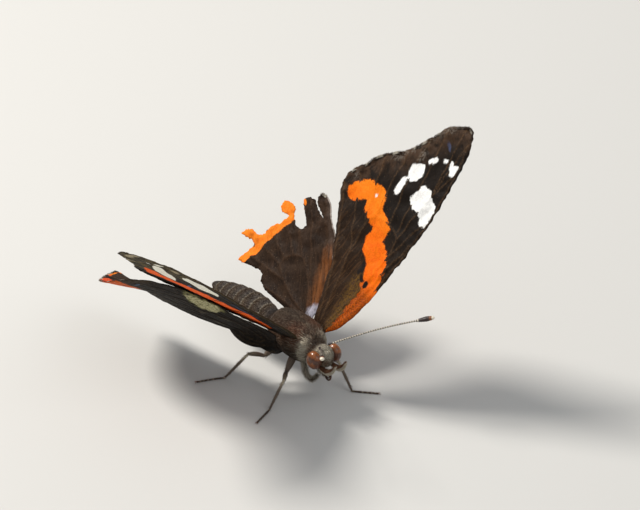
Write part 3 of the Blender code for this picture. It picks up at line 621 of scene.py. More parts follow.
def patch_edge_group():
    """A mark's mask from its depth, with the ragged, scale-by-scale edge of a wing marking."""
    board, given, result = new_group(
        "patch edge", [("Depth", FLOAT, 0.0), ("Place", VECTOR, None), ("Ragged", FLOAT, 0.3),
                       ("Soft", FLOAT, 0.06)], [("Mask", FLOAT)])
    wide = board.sum("SUBTRACT", board.noise(given["Place"], 1.7), 0.5)
    fine = board.sum("SUBTRACT", board.noise(given["Place"], 8.0, 3.0, 0.7), 0.5)
    jitter = board.sum("MULTIPLY", board.sum("ADD", wide, board.sum("MULTIPLY", fine, 1.2)),
                       given["Ragged"])
    depth = board.sum("ADD", given["Depth"], jitter)
    low = board.sum("MULTIPLY", given["Soft"], -1.0)
    board.feed(result["Mask"], board.between(depth, low, given["Soft"]))
    return board.tree


def scale_grain_group():
    """Overlapping wing scales: a tone for each scale and the height of their rows."""
    board, given, result = new_group(
        "scale grain", [("Place", VECTOR, None), ("Size", FLOAT, 0.14)],
        [("Tone", FLOAT), ("Height", FLOAT)])
    per_mm = board.sum("DIVIDE", 1.0, given["Size"])
    shape = board.stretch(given["Place"], (0.7, 1.25, 1.0))
    cells = board.add("ShaderNodeTexVoronoi", {"voronoi_dimensions": "3D"}, Vector=shape,
                      Scale=per_mm, Randomness=0.75)
    tone = board.add("ShaderNodeSeparateColor", None, Color=cells.outputs["Color"]).outputs[0]
    board.feed(result["Tone"], tone)
    board.feed(result["Height"], board.sum("SUBTRACT", 1.0, cells.outputs["Distance"]))
    return board.tree


def speck_group():
    """Scattered single scales of another colour."""
    board, given, result = new_group(
        "specks", [("Place", VECTOR, None), ("Size", FLOAT, 0.16), ("Share", FLOAT, 0.1)],
        [("Mask", FLOAT)])
    per_mm = board.sum("DIVIDE", 1.0, given["Size"])
    cells = board.add("ShaderNodeTexVoronoi", {"voronoi_dimensions": "3D"}, Vector=given["Place"],
                      Scale=per_mm)
    pick = board.add("ShaderNodeSeparateColor", None, Color=cells.outputs["Color"]).outputs[1]
    chosen = board.sum("GREATER_THAN", pick, board.sum("SUBTRACT", 1.0, given["Share"]))
    near = board.between(cells.outputs["Distance"], 0.25, 0.5, 1.0, 0.0)
    gathered = board.between(board.noise(given["Place"], 1.1, 3.0), 0.4, 0.6, 0.15, 1.0)
    board.feed(result["Mask"], board.sum("MULTIPLY", board.sum("MULTIPLY", chosen, near), gathered))
    return board.tree


def vein_group():
    """The paler dusting that follows the veins, broken up along them."""
    board, given, result = new_group(
        "vein dust", [("Distance", FLOAT, 1.0), ("Place", VECTOR, None), ("Width", FLOAT, 0.2)],
        [("Mask", FLOAT)])
    line = board.between(given["Distance"], 0.0, given["Width"], 1.0, 0.0)
    broken = board.between(board.noise(given["Place"], 5.0, 3.0, 0.7), 0.38, 0.62)
    board.feed(result["Mask"], board.sum("MULTIPLY", line, broken))
    return board.tree


def body_colour_group():
    """The body's colours on skin and coat: brown-grey, with pale and rusty zones, blue-grey ones that
    are partly a painted sheen and dark ones that are partly painted shade.
    """
    board, given, result = new_group(
        "body colours", [("Place", VECTOR, None), ("Pale", FLOAT, 0.0), ("Rust", FLOAT, 0.0),
                         ("Steel", FLOAT, 0.0), ("Dark", FLOAT, 0.0)], [("Color", COLOUR)])
    broad = board.between(board.noise(given["Place"], 1.1, 3.0), 0.35, 0.65)
    fine = board.between(board.noise(given["Place"], 6.0, 2.0), 0.35, 0.7)
    ground = board.mix(broad, paint(82, 63, 47), paint(104, 84, 65))
    ground = board.lay(ground, fine, 0.45, (56, 42, 32))
    ground = board.mix(given["Steel"], ground, paint(92, 90, 92))
    ground = board.mix(given["Rust"], ground, paint(118, 70, 48))
    ground = board.mix(given["Dark"], ground, paint(36, 28, 23))
    ground = board.mix(given["Pale"], ground, paint(206, 198, 178))
    board.feed(result["Color"], ground)
    return board.tree


GROUPS = {
    "edge": patch_edge_group(),
    "grain": scale_grain_group(),
    "specks": speck_group(),
    "veins": vein_group(),
    "body": body_colour_group(),
}


def new_material(name, **constants):
    """A material with a Principled shader whose even values are set on its own sockets."""
    material = bpy.data.materials.new(name)
    material.use_nodes = True
    board = Board(material.node_tree)
    shader = material.node_tree.nodes["Principled BSDF"]
    for label, value in {"Specular IOR Level": 0.3, **constants}.items():
        shader.inputs[label.replace("_", " ")].default_value = value
    return material, board, shader.inputs


def mask_of(board, label, ragged, soft, veined=0.0):
    """The mask of a mark; veined is how far dark veins cut into its edge."""
    depth = board.mark(label)
    if veined:
        cut = board.between(board.mark("vein"), 0.0, 0.22, veined, 0.0)
        depth = board.sum("SUBTRACT", depth, cut)
    return board.group(GROUPS["edge"], Depth=depth, Place=board.place(), Ragged=ragged,
                       Soft=soft)["Mask"]


WING_ROUGHNESS = 0.7
SCALE_RELIEF = 0.35


def start_wing(name):
    """A wing material with its places and the grain of its scales, for the marks to go on."""
    material, board, shader = new_material(name, Specular_IOR_Level=0.12)
    place = board.place()
    return material, board, shader, place, board.group(GROUPS["grain"], Place=place, Size=0.11)


def lay_mark(board, colour, label, ragged, soft, shade, veined=0.0):
    """The colour with a mark painted on it in a shade, or in a varied colour."""
    shade = paint(*shade) if isinstance(shade, tuple) else shade
    return board.mix(mask_of(board, label, ragged, soft, veined), colour, shade)


def scaly_finish(board, shader, colour, grain):
    """Ends a wing material: colour varied scale by scale, rows of scales as fine relief."""
    toned = board.mix(board.between(grain["Tone"], 0.0, 1.0, 0.0, 0.3), colour,
                      board.mix(1.0, colour, (0.35, 0.35, 0.35, 1), "MULTIPLY"))
    board.feed(shader["Base Color"], toned)
    board.feed(shader["Roughness"], board.between(grain["Tone"], 0.0, 1.0, WING_ROUGHNESS - 0.1,
                                                  WING_ROUGHNESS + 0.12))
    board.feed(shader["Normal"], board.bump(grain["Height"], SCALE_RELIEF, 0.00002))


def dust_veins(board, colour, place, width, share, shade):
    """Adds the broken dusting along the veins to a colour."""
    veins = board.group(GROUPS["veins"], Distance=board.mark("vein"), Place=place,
                        Width=width)["Mask"]
    return board.lay(colour, veins, share, shade)


def forewing_upper_material():
    """Black-brown with an orange band, white spots and a dusty tip; bronze near the body."""
    material, board, shader, place, grain = start_wing("forewing_upper")
    cloud = board.noise(place, 0.9, 3.0)
    out = board.add("ShaderNodeSeparateXYZ", None, Vector=place).outputs[0]
    basal = board.between(out, 16.0, 6.0)
    colour = board.mix(basal, paint(24, 17, 12), paint(45, 30, 18))
    streak = board.noise(board.stretch(place, (0.25, 2.4, 1.0)), 1.6, 3.0)
    streaks = board.sum("MULTIPLY", board.between(streak, 0.48, 0.68), 0.55)
    colour = board.lay(colour, basal, streaks, (88, 60, 36))
    outer = board.between(board.mark("outer"), 3.6, 0.4)
    dust = board.sum("MULTIPLY", outer, board.between(cloud, 0.3, 0.62))
    colour = board.lay(colour, dust, 0.5, (92, 68, 50))
    olive = board.sum("MULTIPLY", mask_of(board, "tint", 0.9, 0.7),
                      board.between(grain["Tone"], 0.2, 0.7))
    colour = board.lay(colour, olive, 0.6, (124, 90, 34))
    colour = dust_veins(board, colour, place, 0.22, 0.4, (112, 84, 56))
    specks = board.group(GROUPS["specks"], Place=place, Size=0.09,
                         Share=board.sum("MULTIPLY_ADD", basal, 0.06, 0.02))["Mask"]
    colour = board.lay(colour, specks, 0.38, (164, 132, 96))
    fire = board.mix(board.noise(place, 1.6), paint(232, 84, 2), paint(248, 126, 12))
    fire = board.mix(board.between(out, 12.0, 16.0, 0.0, 0.4), fire, paint(252, 150, 26))
    mottle = board.between(board.noise(place, 5.0, 3.0, 0.7), 0.4, 0.6)
    strip = board.sum("MULTIPLY", board.between(out, 9.2, 6.4),
                      board.sum("MULTIPLY_ADD", mottle, 0.42, 0.5))
    fire = board.mix(strip, fire, paint(96, 46, 14))
    colour = lay_mark(board, colour, "orange", 0.75, 0.06, fire, 0.3)
    colour = lay_mark(board, colour, "black", 0.3, 0.06, (28, 20, 16))
    blue = mask_of(board, "blue", 0.3, 0.1)
    colour = board.lay(colour, blue, 0.32, (84, 104, 150))
    hoar = board.sum("MULTIPLY", mask_of(board, "pale", 0.8, 0.5),
                     board.between(grain["Tone"], 0.55, 0.7))
    colour = board.lay(colour, hoar, 0.3, (198, 186, 172))
    colour = lay_mark(board, colour, "white", 0.55, 0.05, (246, 246, 244), 0.16)
    scaly_finish(board, shader, colour, grain)
    return material


def forewing_under_material():
    """Black and scarlet, with white spots, fine blue lines and a marbled olive-brown tip."""
    material, board, shader, place, grain = start_wing("forewing_under")
    marble = board.noise(board.stretch(place, (0.9, 0.5, 1.0)), 1.5, 4.0, 0.65)
    # The ground here, like this side's other dark colours, is darker than the wing's own colour:
    # partly painted shade, for under sides that lie in shade
    colour = board.mix(board.between(marble, 0.3, 0.7), paint(14, 10, 8), paint(27, 20, 14))
    tip = board.mix(board.between(marble, 0.42, 0.6), paint(30, 25, 15), paint(90, 78, 46))
    colour = lay_mark(board, colour, "tint", 1.2, 0.8, tip)
    costal = board.between(board.mark("costa"), 0.7, 0.15)
    colour = board.lay(colour, costal, 0.45, (84, 68, 38))
    colour = dust_veins(board, colour, place, 0.22, 0.4, (106, 86, 54))
    scarlet = board.mix(board.noise(place, 1.4), paint(250, 70, 18), paint(255, 122, 36))
    colour = lay_mark(board, colour, "orange", 0.3, 0.08, scarlet)
    colour = lay_mark(board, colour, "black", 0.25, 0.08, (20, 16, 17))
    colour = board.lay(colour, mask_of(board, "blue", 0.12, 0.05), 0.7, (80, 104, 152))
    colour = board.lay(colour, mask_of(board, "pale", 0.5, 0.15), 0.7, (190, 176, 144))
    colour = lay_mark(board, colour, "white", 0.22, 0.06, (253, 250, 234))
    scaly_finish(board, shader, colour, grain)
    return material


def hindwing_upper_material():
    """Velvety bronze-brown with a coppery front, an orange border and black spots in it."""
    material, board, shader, place, grain = start_wing("hindwing_upper")
    cloud = board.noise(place, 0.5, 3.0)
    colour = board.mix(board.between(cloud, 0.35, 0.65), paint(36, 23, 14), paint(52, 36, 24))
    streak = board.noise(board.stretch(place, (0.2, 1.8, 1.0)), 1.5, 3.0)
    colour = board.lay(colour, board.between(streak, 0.5, 0.75), 0.4, (76, 54, 38))
    copper = board.sum("MULTIPLY", mask_of(board, "tint", 0.8, 0.8), board.between(streak, 0.2, 0.6))
    colour = board.lay(colour, copper, 0.62, (150, 90, 44))
    colour = dust_veins(board, colour, place, 0.24, 0.25, (104, 76, 54))
    specks = board.group(GROUPS["specks"], Place=place, Size=0.09, Share=0.04)["Mask"]
    colour = board.lay(colour, specks, 0.42, (164, 132, 102))
    pale = mask_of(board, "pale", 0.5, 0.3)
    colour = board.lay(colour, pale, 0.22, (120, 100, 88))
    rim = board.sum("MULTIPLY", pale, board.between(board.mark("rim"), 0.17, 0.05))
    colour = board.lay(colour, rim, 0.7, (222, 208, 198))
    out = board.add("ShaderNodeSeparateXYZ", None, Vector=place).outputs[0]
    fire = board.mix(board.noise(place, 1.8), paint(238, 106, 12), paint(252, 150, 42))
    fire = board.mix(board.between(out, 15.6, 16.6), fire, paint(206, 72, 20))
    colour = lay_mark(board, colour, "orange", 0.36, 0.06, fire)
    colour = lay_mark(board, colour, "black", 0.2, 0.06, (28, 20, 17))
    colour = lay_mark(board, colour, "blue", 0.5, 0.35, (178, 176, 190))
    scaly_finish(board, shader, colour, grain)
    return material


def hindwing_under_material():
    """Marbled black, olive and grey like bark, with a cream patch in front and eye-spots."""
    material, board, shader, place, grain = start_wing("hindwing_under")
    marble = board.noise(board.stretch(place, (0.7, 1.1, 1.0)), 1.1, 5.0, 0.66)
    rivers = board.noise(board.stretch(place, (1.4, 0.8, 1.0)), 1.6, 4.0, 0.7)
    # The ground here, like this side's other dark colours, is darker than the wing's own colour:
    # partly painted shade, for under sides that lie in shade
    colour = board.mix(board.between(marble, 0.36, 0.6), paint(12, 9, 6), paint(28, 20, 13))
    colour = board.lay(colour, board.between(rivers, 0.54, 0.62), 0.5, (62, 51, 33))
    colour = board.lay(colour, board.between(rivers, 0.66, 0.72), 0.6, (110, 100, 82))
    colour = dust_veins(board, colour, place, 0.2, 0.3, (80, 64, 42))
    colour = board.lay(colour, mask_of(board, "pale", 0.5, 0.2), 0.22, (146, 134, 110))
    moss = board.sum("MULTIPLY", mask_of(board, "tint", 0.8, 0.4), board.between(rivers, 0.42, 0.5))
    colour = board.lay(colour, moss, 0.8, (134, 130, 84))
    cream = board.sum("MULTIPLY", mask_of(board, "white", 0.5, 0.15),
                      board.between(board.noise(place, 3.0, 3.0), 0.4, 0.52))
    colour = board.lay(colour, cream, 0.85, (198, 192, 150))
    margin = board.between(board.mark("outer"), 1.5, 0.7)
    colour = board.lay(colour, margin, 0.6, (66, 52, 36))
    colour = lay_mark(board, colour, "orange", 0.5, 0.25, (206, 92, 34))
    colour = lay_mark(board, colour, "black", 0.15, 0.06, (16, 13, 15))
    colour = board.lay(colour, mask_of(board, "blue", 0.15, 0.06), 0.7, (84, 108, 134))
    scaly_finish(board, shader, colour, grain)
    return material


def hair_material(name, root, tip):
    """Fine hair or fringe, darker at the root; pale and dark tufts by the mark they carry."""
    material, board, shader = new_material(name, Roughness=0.75, Specular_IOR_Level=0.15)
    place = board.place()
    colour = board.mix(board.mark("tip"), paint(*root), paint(*tip))
    colour = board.mix(board.between(board.noise(place, 7.0, 2.0), 0.35, 0.65, 0.0, 0.5), colour,
                       paint(*root))
    colour = board.mix(board.mark("light"), colour, paint(226, 218, 200))
    board.feed(shader["Base Color"], colour)
    return material


def body_material(name, bumpy):
    """The body's skin, with relief, or its coat, darker towards the roots as painted shade, in the
    shared colours.
    """
    material, board, shader = new_material(name, Specular_IOR_Level=0.15)
    place = board.place()
    colour = board.group(GROUPS["body"], Place=place, Pale=board.mark("light"),
                         Rust=board.mark("rust"), Steel=board.mark("steel"),
                         Dark=board.mark("dark"))["Color"]
    if bumpy:
        colour = board.mix(0.4, colour, paint(36, 28, 23))
    else:
        # The coat darkens towards each tuft's root: painted shade between the hairs
        colour = board.mix(board.between(board.mark("tip"), 0.0, 1.0, 0.28, 0.0), colour,
                           board.mix(1.0, colour, (0.3, 0.28, 0.26, 1), "MULTIPLY"))
    board.feed(shader["Base Color"], colour)
    board.feed(shader["Roughness"], board.between(board.noise(place, 6.0), 0.3, 0.7, 0.7, 0.9))
    if bumpy:
        grain = board.group(GROUPS["grain"], Place=place, Size=0.12)
        board.feed(shader["Normal"], board.bump(grain["Height"], 0.6, 0.00004))
    return material


def eye_material():
    """Glossy brown compound eye with darker clouds, painted shade over its lower part and a fine net
    of facets.
    """
    material, board, shader = new_material("compound_eye", Coat_Weight=0.6, Coat_Roughness=0.12)
    place = board.place()
    cloud = board.between(board.noise(place, 1.5, 3.0), 0.42, 0.6)
    height = board.add("ShaderNodeSeparateXYZ", None, Vector=place).outputs[2]
    colour = board.mix(cloud, paint(158, 90, 38), paint(84, 44, 22))
    # Painted shade: the eye darkens towards its lower part
    colour = board.mix(board.between(height, -0.1, -1.0), colour, paint(60, 26, 14))
    facets = board.add("ShaderNodeTexVoronoi", None, Vector=place, Scale=17.0, Randomness=0.15)
    colour = board.mix(board.between(facets.outputs["Distance"], 0.35, 0.6, 0.0, 0.6), colour,
                       paint(48, 20, 10))
    board.feed(shader["Base Color"], colour)
    board.feed(shader["Roughness"], board.between(facets.outputs["Distance"], 0.1, 0.6, 0.16, 0.4))
    dome = board.sum("SUBTRACT", 1.0, facets.outputs["Distance"])
    board.feed(shader["Normal"], board.bump(dome, 0.5, 0.00002))
    return material


def horn_material(name, dark, light, rough):
    """Shell of legs, feelers and tongue: dark, with rings or undersides of pale scales."""
    material, board, shader = new_material(name, Coat_Weight=0.15, Coat_Roughness=0.35)
    place = board.place()
    fine = board.noise(place, 11.0, 3.0)
    colour = board.mix(board.between(fine, 0.3, 0.7), paint(*dark),
                       paint(*(min(255, part * 1.7 + 8) for part in dark)))
    broken = board.between(board.noise(place, 14.0, 2.0), 0.25, 0.5)
    colour = board.mix(board.sum("MULTIPLY", board.mark("light"), broken), colour, paint(*light))
    colour = board.mix(board.mark("rust"), colour, paint(150, 92, 52))
    board.feed(shader["Base Color"], colour)
    board.feed(shader["Roughness"], board.between(fine, 0.3, 0.7, rough - 0.1, rough + 0.12))
    board.feed(shader["Normal"], board.bump(board.noise(place, 24.0, 2.0), 0.5, 0.00002))
    return material


MATERIALS = {
    "fore_upper": forewing_upper_material(),
    "fore_under": forewing_under_material(),
    "hind_upper": hindwing_upper_material(),
    "hind_under": hindwing_under_material(),
    "fringe": hair_material("wing_fringe", (36, 27, 22), (70, 54, 42)),
    "wing_hair": hair_material("wing_hair", (58, 42, 30), (92, 70, 50)),
    "skin": body_material("body_skin_scales", True),
    "coat": body_material("body_coat_hair", False),
    "eye": eye_material(),
    "horn": horn_material("leg_shell", (46, 34, 28), (214, 200, 172), 0.45),
    "feeler": horn_material("feeler_shell", (30, 22, 20), (236, 228, 208), 0.45),
    "tongue": horn_material("tongue_shell", (44, 28, 18), (110, 80, 50), 0.35),
    "brush": hair_material("leg_brush", (70, 58, 48), (168, 154, 134)),
    "palp": hair_material("palp_scales", (60, 40, 29), (124, 84, 58)),
}


# Wings

MEMBRANE = 0.09
RIDGE_HEIGHT = 0.055
RIDGE_REACH = 0.2
WING_SPACING = 0.3
FRINGE_LENGTH = 0.24
ROOT_HAIRS = 480
# Least gaps in a wing's plan: between vein points, from them to the rim, and from the grid of
# other points to the rim and to the ridges
VEIN_GAP = 0.085
VEIN_TO_RIM = 0.09
GRID_TO_RIM = 0.16
GRID_TO_RIDGE = 0.12
# The under side carries this height in its plan, so that its pattern is not the upper side's
UNDER_SIDE = 40.0
# On the right forewing, seen edge on, the orange keeps this far from the front edge
FRONT_EDGE_BARE = 0.4


def wing_lie(name, along, back, height):
    """Places on a wing, in the body frame, at heights over the middle of the membrane."""
    pose = WING_SET[name]
    side, span = pose["side"], pose["span"]
    start = math.radians(pose["raised"])
    bend = math.radians(pose["flare"] or 0.01) / span
    swept, twisted = math.radians(pose["sweep"]), math.radians(pose["twist"])

    def middle(s, t):
        out = s * math.cos(swept) + t * math.sin(swept)
        ahead = s * math.sin(swept) - t * math.cos(swept)
        angle = start + bend * out
        left = (np.sin(angle) - math.sin(start)) / bend
        up = (math.cos(start) - np.cos(angle)) / bend
        lift = ahead * math.sin(twisted) + pose["camber"] * (ahead / 10) ** 2
        outer = np.clip((out / span - TIP_FROM) / TIP_REACH, 0, 1)
        lift += math.sin(math.radians(pose["tip_twist"])) * outer * (ahead + 0.2 * span)
        past = -t - ROLL_FROM
        lift += (pose["roll"] * (np.hypot(past, ROLL_SOFTNESS) + past) / 2
                 * np.clip(out / ROLL_RISE, 0, 1))
        inner = t - FOLD_FROM
        lift -= (pose.get("fold", 0.0) * (np.hypot(inner, ROLL_SOFTNESS) + inner) / 2
                 * np.clip(1 - s / FOLD_REACH, 0, 1))
        left = left - np.sin(angle) * lift
        up = up + np.cos(angle) * lift
        hinge = pose["hinge"]
        return np.stack([hinge[0] + ahead * math.cos(twisted), hinge[1] + side * left,
                         hinge[2] + up], -1)

    step = 0.05
    here = middle(along, back)
    outward = middle(along + step, back) - here
    rearward = middle(along, back + step) - here
    normal = unit(np.cross(outward, rearward)) * side
    return here + normal * (np.asarray(height) + pose["lean"])[..., None], normal


def wing_kind(name):
    """Which drawing a wing follows."""
    if name == "hindwing_left":
        return "torn"
    return "forewing" if name.startswith("forewing") else "hindwing"


def wing_drawing(kind):
    """A wing's outline and veins in its plan, in millimetres."""
    shrink = HINDWING_LENGTH / DRAWN_HINDWING
    if kind == "forewing":
        return np.array(FOREWING_OUTLINE), [np.array(vein) for vein in FOREWING_VEINS]
    veins = [np.array(vein) * shrink for vein in HINDWING_VEINS]
    if kind == "torn":
        return np.array(TORN_OUTLINE), veins
    return np.array(HINDWING_OUTLINE) * shrink, veins


def ragged_rim(kind, outline):
    """The rim as a fine even line, a little worn, and frayed where the wing is torn."""
    rim = even_steps(smooth_curve(outline, 6, closed=True), 0.2, closed=True)
    ahead = unit(np.roll(rim, -1, axis=0) - np.roll(rim, 1, axis=0))
    outward = np.stack([ahead[:, 1], -ahead[:, 0]], 1)
    worn = []
    for point in rim:
        wave = noise.noise(Vector((point[0] * 1.4, point[1] * 1.4, 3.0)))
        fray = noise.noise(Vector((point[0] * 4.5, point[1] * 4.5, 7.0)))
        near_root = min(1.0, max(0.0, (point[0] - 2.0) / 4.0))
        front = point[1] < -1.5
        amount = 0.04 if front else (0.16 if kind == "torn" else 0.09)
        worn.append((wave * 0.6 + fray) * amount * near_root)
    return rim + outward * np.array(worn)[:, None]


def rim_stretch(rim, ends):
    """The run of rim points from the one nearest the first end to the one nearest the second."""
    first, last = (np.linalg.norm(rim - np.array(end), axis=1).argmin() for end in ends)
    if last < first:
        last += len(rim)
    return rim[np.arange(first, last + 1) % len(rim)]


def wing_plan(kind):
    """The triangles of a wing's plan, fine enough for ridges, with what is near each point."""
    outline, veins = wing_drawing(kind)
    rim = ragged_rim(kind, outline)
    closed_rim = np.vstack([rim, rim[:1]])
    lines = [even_steps(smooth_curve(vein, 4), 0.24) for vein in veins]
    taken = {}

    def free(point, gap):
        """Whether no point taken earlier is within the gap; if so, this one is taken."""
        cell = (int(point[0] // gap), int(point[1] // gap))
        for i in (-1, 0, 1):
            for j in (-1, 0, 1):
                for other in taken.get((cell[0] + i, cell[1] + j), ()):
                    if (other[0] - point[0]) ** 2 + (other[1] - point[1]) ** 2 < gap * gap:
                        return False
        taken.setdefault(cell, []).append(point)
        return True

    candidates = []
    for line in lines:
        ahead = unit(np.gradient(line, axis=0))
        across = np.stack([-ahead[:, 1], ahead[:, 0]], 1)
        for share in (0.0, -0.6, 0.6, -1.2, 1.2):
            candidates.append(line + across * (share * RIDGE_REACH))
    vein_points = np.vstack(candidates)
    away, _ = line_distance(vein_points, closed_rim)
    vein_points = vein_points[inside(vein_points, rim) & (away > VEIN_TO_RIM)]
    vein_points = [point for point in vein_points if free(point, VEIN_GAP)]
    rows, cols = np.mgrid[-16:64, -1:104]
    grid = np.stack([(cols + (rows % 2) / 2) * WING_SPACING, rows * WING_SPACING * 0.87], -1)
    grid = grid.reshape(-1, 2)
    away, _ = line_distance(grid, closed_rim)
    keep = inside(grid, rim) & (away > GRID_TO_RIM)
    for line in lines:
        close, _ = line_distance(grid, line)
        keep &= close > 1.2 * RIDGE_REACH + GRID_TO_RIDGE
    points = np.vstack([rim, np.array(vein_points), grid[keep]])
    edges = [(index, (index + 1) % len(rim)) for index in range(len(rim))]
    flat, _, triangles, *_ = delaunay_2d_cdt([Vector(point) for point in points], edges, [], 1, 1e-5)
    flat = np.array([tuple(point) for point in flat])
    triangles = np.array([tuple(triangle) for triangle in triangles])
    used = np.unique(triangles)
    rank = np.full(len(flat), -1)
    rank[used] = np.arange(len(used))
    return flat[used], rank[triangles], rim, lines


def wing_relief(plan, lines, rim, name):
    """How far each point is from a vein, half the thickness there and the membrane's bow."""
    nearest = np.full(len(plan), 9.0)
    for line in lines:
        away, _ = line_distance(plan, line)
        nearest = np.minimum(nearest, away)
    to_rim, _ = line_distance(plan, np.vstack([rim, rim[:1]]))
    stout = 1.5 - 0.9 * np.clip(plan[:, 0] / 24, 0, 1)
    ridge = RIDGE_HEIGHT * stout * np.clip(1 - (nearest / (RIDGE_REACH * stout)) ** 2, 0, 1)
    half = MEMBRANE / 2 * np.clip(0.35 + to_rim / 0.25, 0, 1) + ridge * np.clip(to_rim / 0.3, 0, 1)
    wavy = WING_SET[name]["wavy"]
    sag = -0.12 * wavy * (1 - np.exp(-(nearest / 0.9) ** 2))
    seed = sum(ord(letter) for letter in name) % 17
    wave = np.array([noise.noise(Vector((s * 0.55, t * 0.55, seed))) for s, t in plan])
    ripple = np.array([noise.noise(Vector((s * 1.6, t * 1.6, seed + 5))) for s, t in plan])
    fading = np.exp(-(to_rim / 2.2) ** 2) * np.clip(plan[:, 0] / 8 - 0.3, 0, 1)
    bow = sag + wavy * (0.28 * wave * np.clip(plan[:, 0] / 10, 0, 1) + 0.22 * ripple * fading)
    return nearest, half, bow


def plan_map(plan, points, under=False):
    """The OFBake map of points on a wing: the upper side in its lower half, then the under side."""
    low, high = plan.min(0), plan.max(0)
    share = (points - low) / (high - low)
    start = 0.5 if under else 0.0
    return np.stack([0.01 + 0.98 * share[:, 0], 0.01 + 0.48 * share[:, 1] + start], 1)


def wing_piece(name):
    """A thin wing with ridged veins, marked on both sides, and what its hair needs to grow."""
    kind = wing_kind(name)
    plan, triangles, rim, lines = wing_plan(kind)
    nearest, half, bow = wing_relief(plan, lines, rim, name)
    upper, _ = wing_lie(name, plan[:, 0], plan[:, 1], bow + half)
    lower, _ = wing_lie(name, plan[:, 0], plan[:, 1], bow - half)
    count = len(plan)
    outer_line = rim_stretch(rim, FRINGE_ENDS[kind])
    front_line = rim_stretch(rim, (FRONT_START, FRINGE_ENDS[kind][0]))
    to_outer, to_front, to_rim = (line_distance(plan, line)[0] for line in
                                  (outer_line, front_line, np.vstack([rim, rim[:1]])))
    marks = {"plan": np.zeros((2 * count, 3))}
    marks["plan"][:, :2] = np.vstack([plan, plan])
    marks["plan"][count:, 2] = UNDER_SIDE
    for label, apart in (("vein", nearest), ("outer", to_outer), ("costa", to_front),
                         ("rim", to_rim)):
        marks[label] = np.tile(apart, 2)
    for label in MARK_NAMES:
        marks[label] = np.concatenate([mark_depth(plan, MARKS[kind, face][label])
                                       for face in ("upper", "under")])
    if kind == "forewing" and WING_SET[name]["side"] < 0:
        marks["orange"][:count] = np.minimum(marks["orange"][:count], to_front - FRONT_EDGE_BARE)
    first = plan[triangles[:, 1]] - plan[triangles[:, 0]]
    second = plan[triangles[:, 2]] - plan[triangles[:, 0]]
    turned = first[:, 0] * second[:, 1] - first[:, 1] * second[:, 0] < 0
    triangles[turned] = triangles[turned][:, ::-1]
    if WING_SET[name]["side"] < 0:
        triangles = triangles[:, ::-1]
    # The rim's edges belong to one triangle only; a strip joins the two sides along them
    borders = set()
    for a, b, c in triangles.tolist():
        for pair in ((a, b), (b, c), (c, a)):
            if pair[::-1] in borders:
                borders.remove(pair[::-1])
            else:
                borders.add(pair)
    strip = [(b, a, a + count, b + count) for a, b in sorted(borders)]
    faces = triangles.tolist() + (triangles[:, ::-1] + count).tolist() + strip
    facing = 0 if WING_SET[name]["side"] > 0 else 1
    slots = [0] * len(triangles) + [1] * len(triangles) + [facing] * len(strip)
    prefix = "fore" if kind == "forewing" else "hind"
    materials = [MATERIALS[prefix + "_upper"], MATERIALS[prefix + "_under"]]
    bake = np.vstack([plan_map(plan, plan), plan_map(plan, plan, under=True)])
    piece = make_piece(name + "_scaled", floor_place(np.vstack([upper, lower])), faces, materials,
                       slots, marks, bake)
    settle(piece, "wing_scales", name)
    return plan, rim, lines


def fringe_piece(name, plan, rim, lines):
    """The fringe of hair scales on a wing's outer margin, white between the vein ends."""
    kind = wing_kind(name)
    margin = even_steps(rim_stretch(rim, FRINGE_ENDS[kind]), 0.045)
    rng = np.random.default_rng(11)
    ahead = unit(np.gradient(margin, axis=0))
    outward = np.stack([ahead[:, 1], -ahead[:, 0]], 1)
    tests = margin + outward * 0.1
    outward = np.where(inside(tests, rim)[:, None], -outward, outward)
    roots2, lean2, length, height = [], [], [], []
    for layer in range(3):
        sway = rng.normal(0, 0.28, len(margin))[:, None]
        roots2.append(margin - outward * (0.05 + 0.10 * layer))
        lean2.append(unit(outward + ahead * sway))
        length.append(FRINGE_LENGTH * rng.uniform(0.55, 1.1, len(margin)))
        height.append(np.full(len(margin), 0.03 * (layer - 1)))
    roots2, lean2 = np.vstack(roots2), np.vstack(lean2)
    length, height = np.concatenate(length), np.concatenate(height)
    worn = np.array([noise.noise(Vector((s * 0.8, t * 0.8, 21.0))) for s, t in roots2])
    keep = rng.random(len(roots2)) < np.clip(0.75 + worn * 1.3, 0.12, 1)
    roots2, lean2, length, height, worn = (values[keep] for values in
                                           (roots2, lean2, length, height, worn))
    vein_ends = np.array([line[-1] for line in lines])
    to_vein = np.linalg.norm(roots2[:, None] - vein_ends[None], axis=2).min(1)
    light = np.clip((to_vein - 0.42) / 0.3, 0, 1) * np.clip(0.05 + 1.5 * worn, 0, 0.7)
    roots, normal = wing_lie(name, roots2[:, 0], roots2[:, 1], height)
    tips, _ = wing_lie(name, *(roots2 + lean2 * 0.3).T, height)
    grown = tufts(roots, tips - roots, normal, length, rng.uniform(0.028, 0.045, len(roots)),
                  rng.normal(0, 0.12, len(roots)), (0.7, 1.0))
    marks = {"plan": np.column_stack([roots2, np.zeros(len(roots2))]), "light": light}
    tuft_piece(name + "_fringe", "fringe", "wing_scales", grown, marks, plan_map(plan, roots2))


